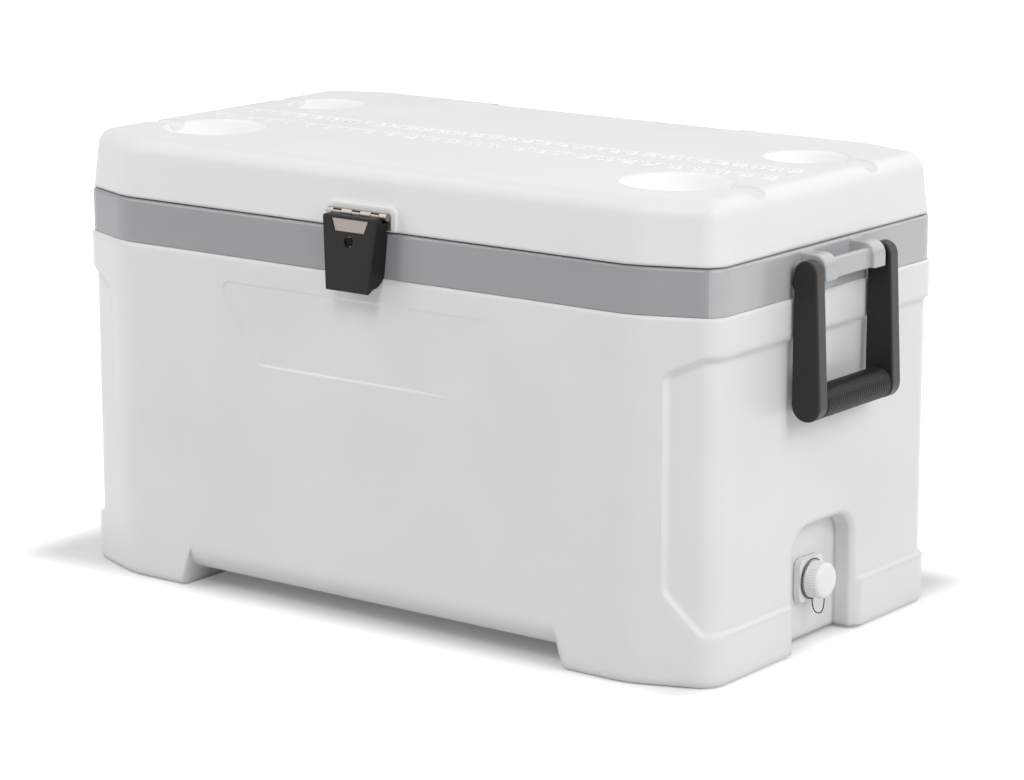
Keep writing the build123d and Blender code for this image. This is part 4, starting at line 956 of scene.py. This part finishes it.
def make_world():
    """A pale dome that lights the object, seen as plain white."""
    world = bpy.data.worlds.new("studio")
    world.use_nodes = True
    tree = world.node_tree
    dome = tree.nodes["Background"]
    dome.inputs["Color"].default_value = WHITE
    dome.inputs["Strength"].default_value = DOME_STRENGTH
    seen = add_node(tree, "ShaderNodeBackground", Color=WHITE, Strength=1.0)
    mix = tree.nodes.new("ShaderNodeMixShader")
    link = tree.links.new
    link(white_mask(tree), mix.inputs[0])
    link(dome.outputs[0], mix.inputs[1])
    link(seen.outputs[0], mix.inputs[2])
    link(mix.outputs[0], tree.nodes["World Output"].inputs["Surface"])
    bpy.context.scene.world = world


def make_floor():
    """A pale floor that keeps the shadow near the object and runs out into plain white, by each point's
    distance from the chest's footprint."""
    half = FLOOR_SIZE / 2
    corner = np.array([[(-half, -half, 0), (half, -half, 0)], [(-half, half, 0), (half, half, 0)]], float)
    floor = new_object("floor", surface("floor", corner))
    made = bpy.data.materials.new("pale_floor")
    made.use_nodes = True
    tree = made.node_tree
    shader = tree.nodes["Principled BSDF"]
    shader.inputs["Base Color"].default_value = FLOOR_COLOUR
    shader.inputs["Roughness"].default_value = FLOOR_ROUGHNESS
    shader.inputs["Specular IOR Level"].default_value = FLOOR_SPECULAR
    far = add_node(tree, "ShaderNodeMapRange", From_Min=FLOOR_SHADE_REACH, From_Max=FLOOR_WHITE_REACH,
                   To_Min=FLOOR_GLOW)
    far.interpolation_type = "SMOOTHSTEP"
    seen_far = add_node(tree, "ShaderNodeMath", "MULTIPLY")
    white = add_node(tree, "ShaderNodeEmission", Color=WHITE)
    both = tree.nodes.new("ShaderNodeAddShader")
    link = tree.links.new
    link(box_distance(tree, FLOOR_SHADE_MIDDLE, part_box("body_shell")[1]), far.inputs["Value"])
    link(far.outputs["Result"], seen_far.inputs[0])
    link(white_mask(tree), seen_far.inputs[1])
    link(seen_far.outputs["Value"], white.inputs["Strength"])
    link(shader.outputs[0], both.inputs[0])
    link(white.outputs[0], both.inputs[1])
    link(both.outputs[0], tree.nodes["Material Output"].inputs["Surface"])
    floor.data.materials.append(made)


def make_lamps():
    """Large round lamps aimed at the middle of the object."""
    middle = (Vector(CAD_BOX[0]) + Vector(CAD_BOX[1])) / 2
    for name, (place, size, power) in LAMPS.items():
        data = bpy.data.lights.new(name, "AREA")
        data.shape = "DISK"
        data.size = size
        data.energy = power
        lamp = new_object(name, data)
        lamp.location = place
        lamp.rotation_mode = "QUATERNION"
        lamp.rotation_quaternion = (middle - Vector(place)).to_track_quat("-Z", "Y")


def make_camera():
    """The photograph's camera: its lens follows from the focal length and the width in pixels."""
    a, e = math.radians(CAMERA_AZIMUTH), math.radians(CAMERA_ELEVATION)
    back = Vector((math.sin(a) * math.cos(e), -math.cos(a) * math.cos(e), math.sin(e)))
    data = bpy.data.cameras.new("camera")
    data.sensor_fit = "HORIZONTAL"
    data.sensor_width = SENSOR_WIDTH
    data.lens = FOCAL_PIXELS * SENSOR_WIDTH / PHOTO_WIDTH
    camera = new_object("camera", data)
    turn = (-back).to_track_quat("-Z", "Y").to_matrix() @ Matrix.Rotation(math.radians(CAMERA_ROLL), 3, "Z")
    camera.matrix_world = Matrix.LocRotScale(Vector(CAMERA_PLACE), turn.to_quaternion(), None)
    bpy.context.scene.camera = camera


make_camera()
make_world()
make_floor()
make_lamps()
dress_nodes()
tether_loop()
tether_knot()
moulded_cap()
thin_ring("tether_ring_cord", "tether_ring", "chest", RING_RADIUS, TETHER_PLASTIC)
thin_ring("cap_swivel_band", "cap_swivel", "cap_carrier", SWIVEL_RADIUS, WHITE_FITTING)
barrel_slot_shade()
panel_border()
ribbed_sleeve("handle_right_sleeve", "handle_right_grip", "handle_right")
ribbed_sleeve("handle_left_sleeve", "handle_left_grip", "handle_left")
ruler_row("ruler_inches", INCH, INCHES, 1, INCH_DIGIT_Y, INCH_TICK_Y)
ruler_row("ruler_metric", DOUBLE_CENTIMETRE, DOUBLE_CENTIMETRES, 2, METRIC_DIGIT_Y, METRIC_TICK_Y)
screw_set("hinge_lid_screws", "lid", HINGE_SCREWS)
screw_set("hinge_body_screws", "chest", HINGE_SCREWS)
screw_set("latch_screws", "lid", LATCH_SCREWS)
screw_set("keeper_screws", "chest", KEEPER_SCREWS)
bpy.context.scene.view_settings.view_transform = "Standard"
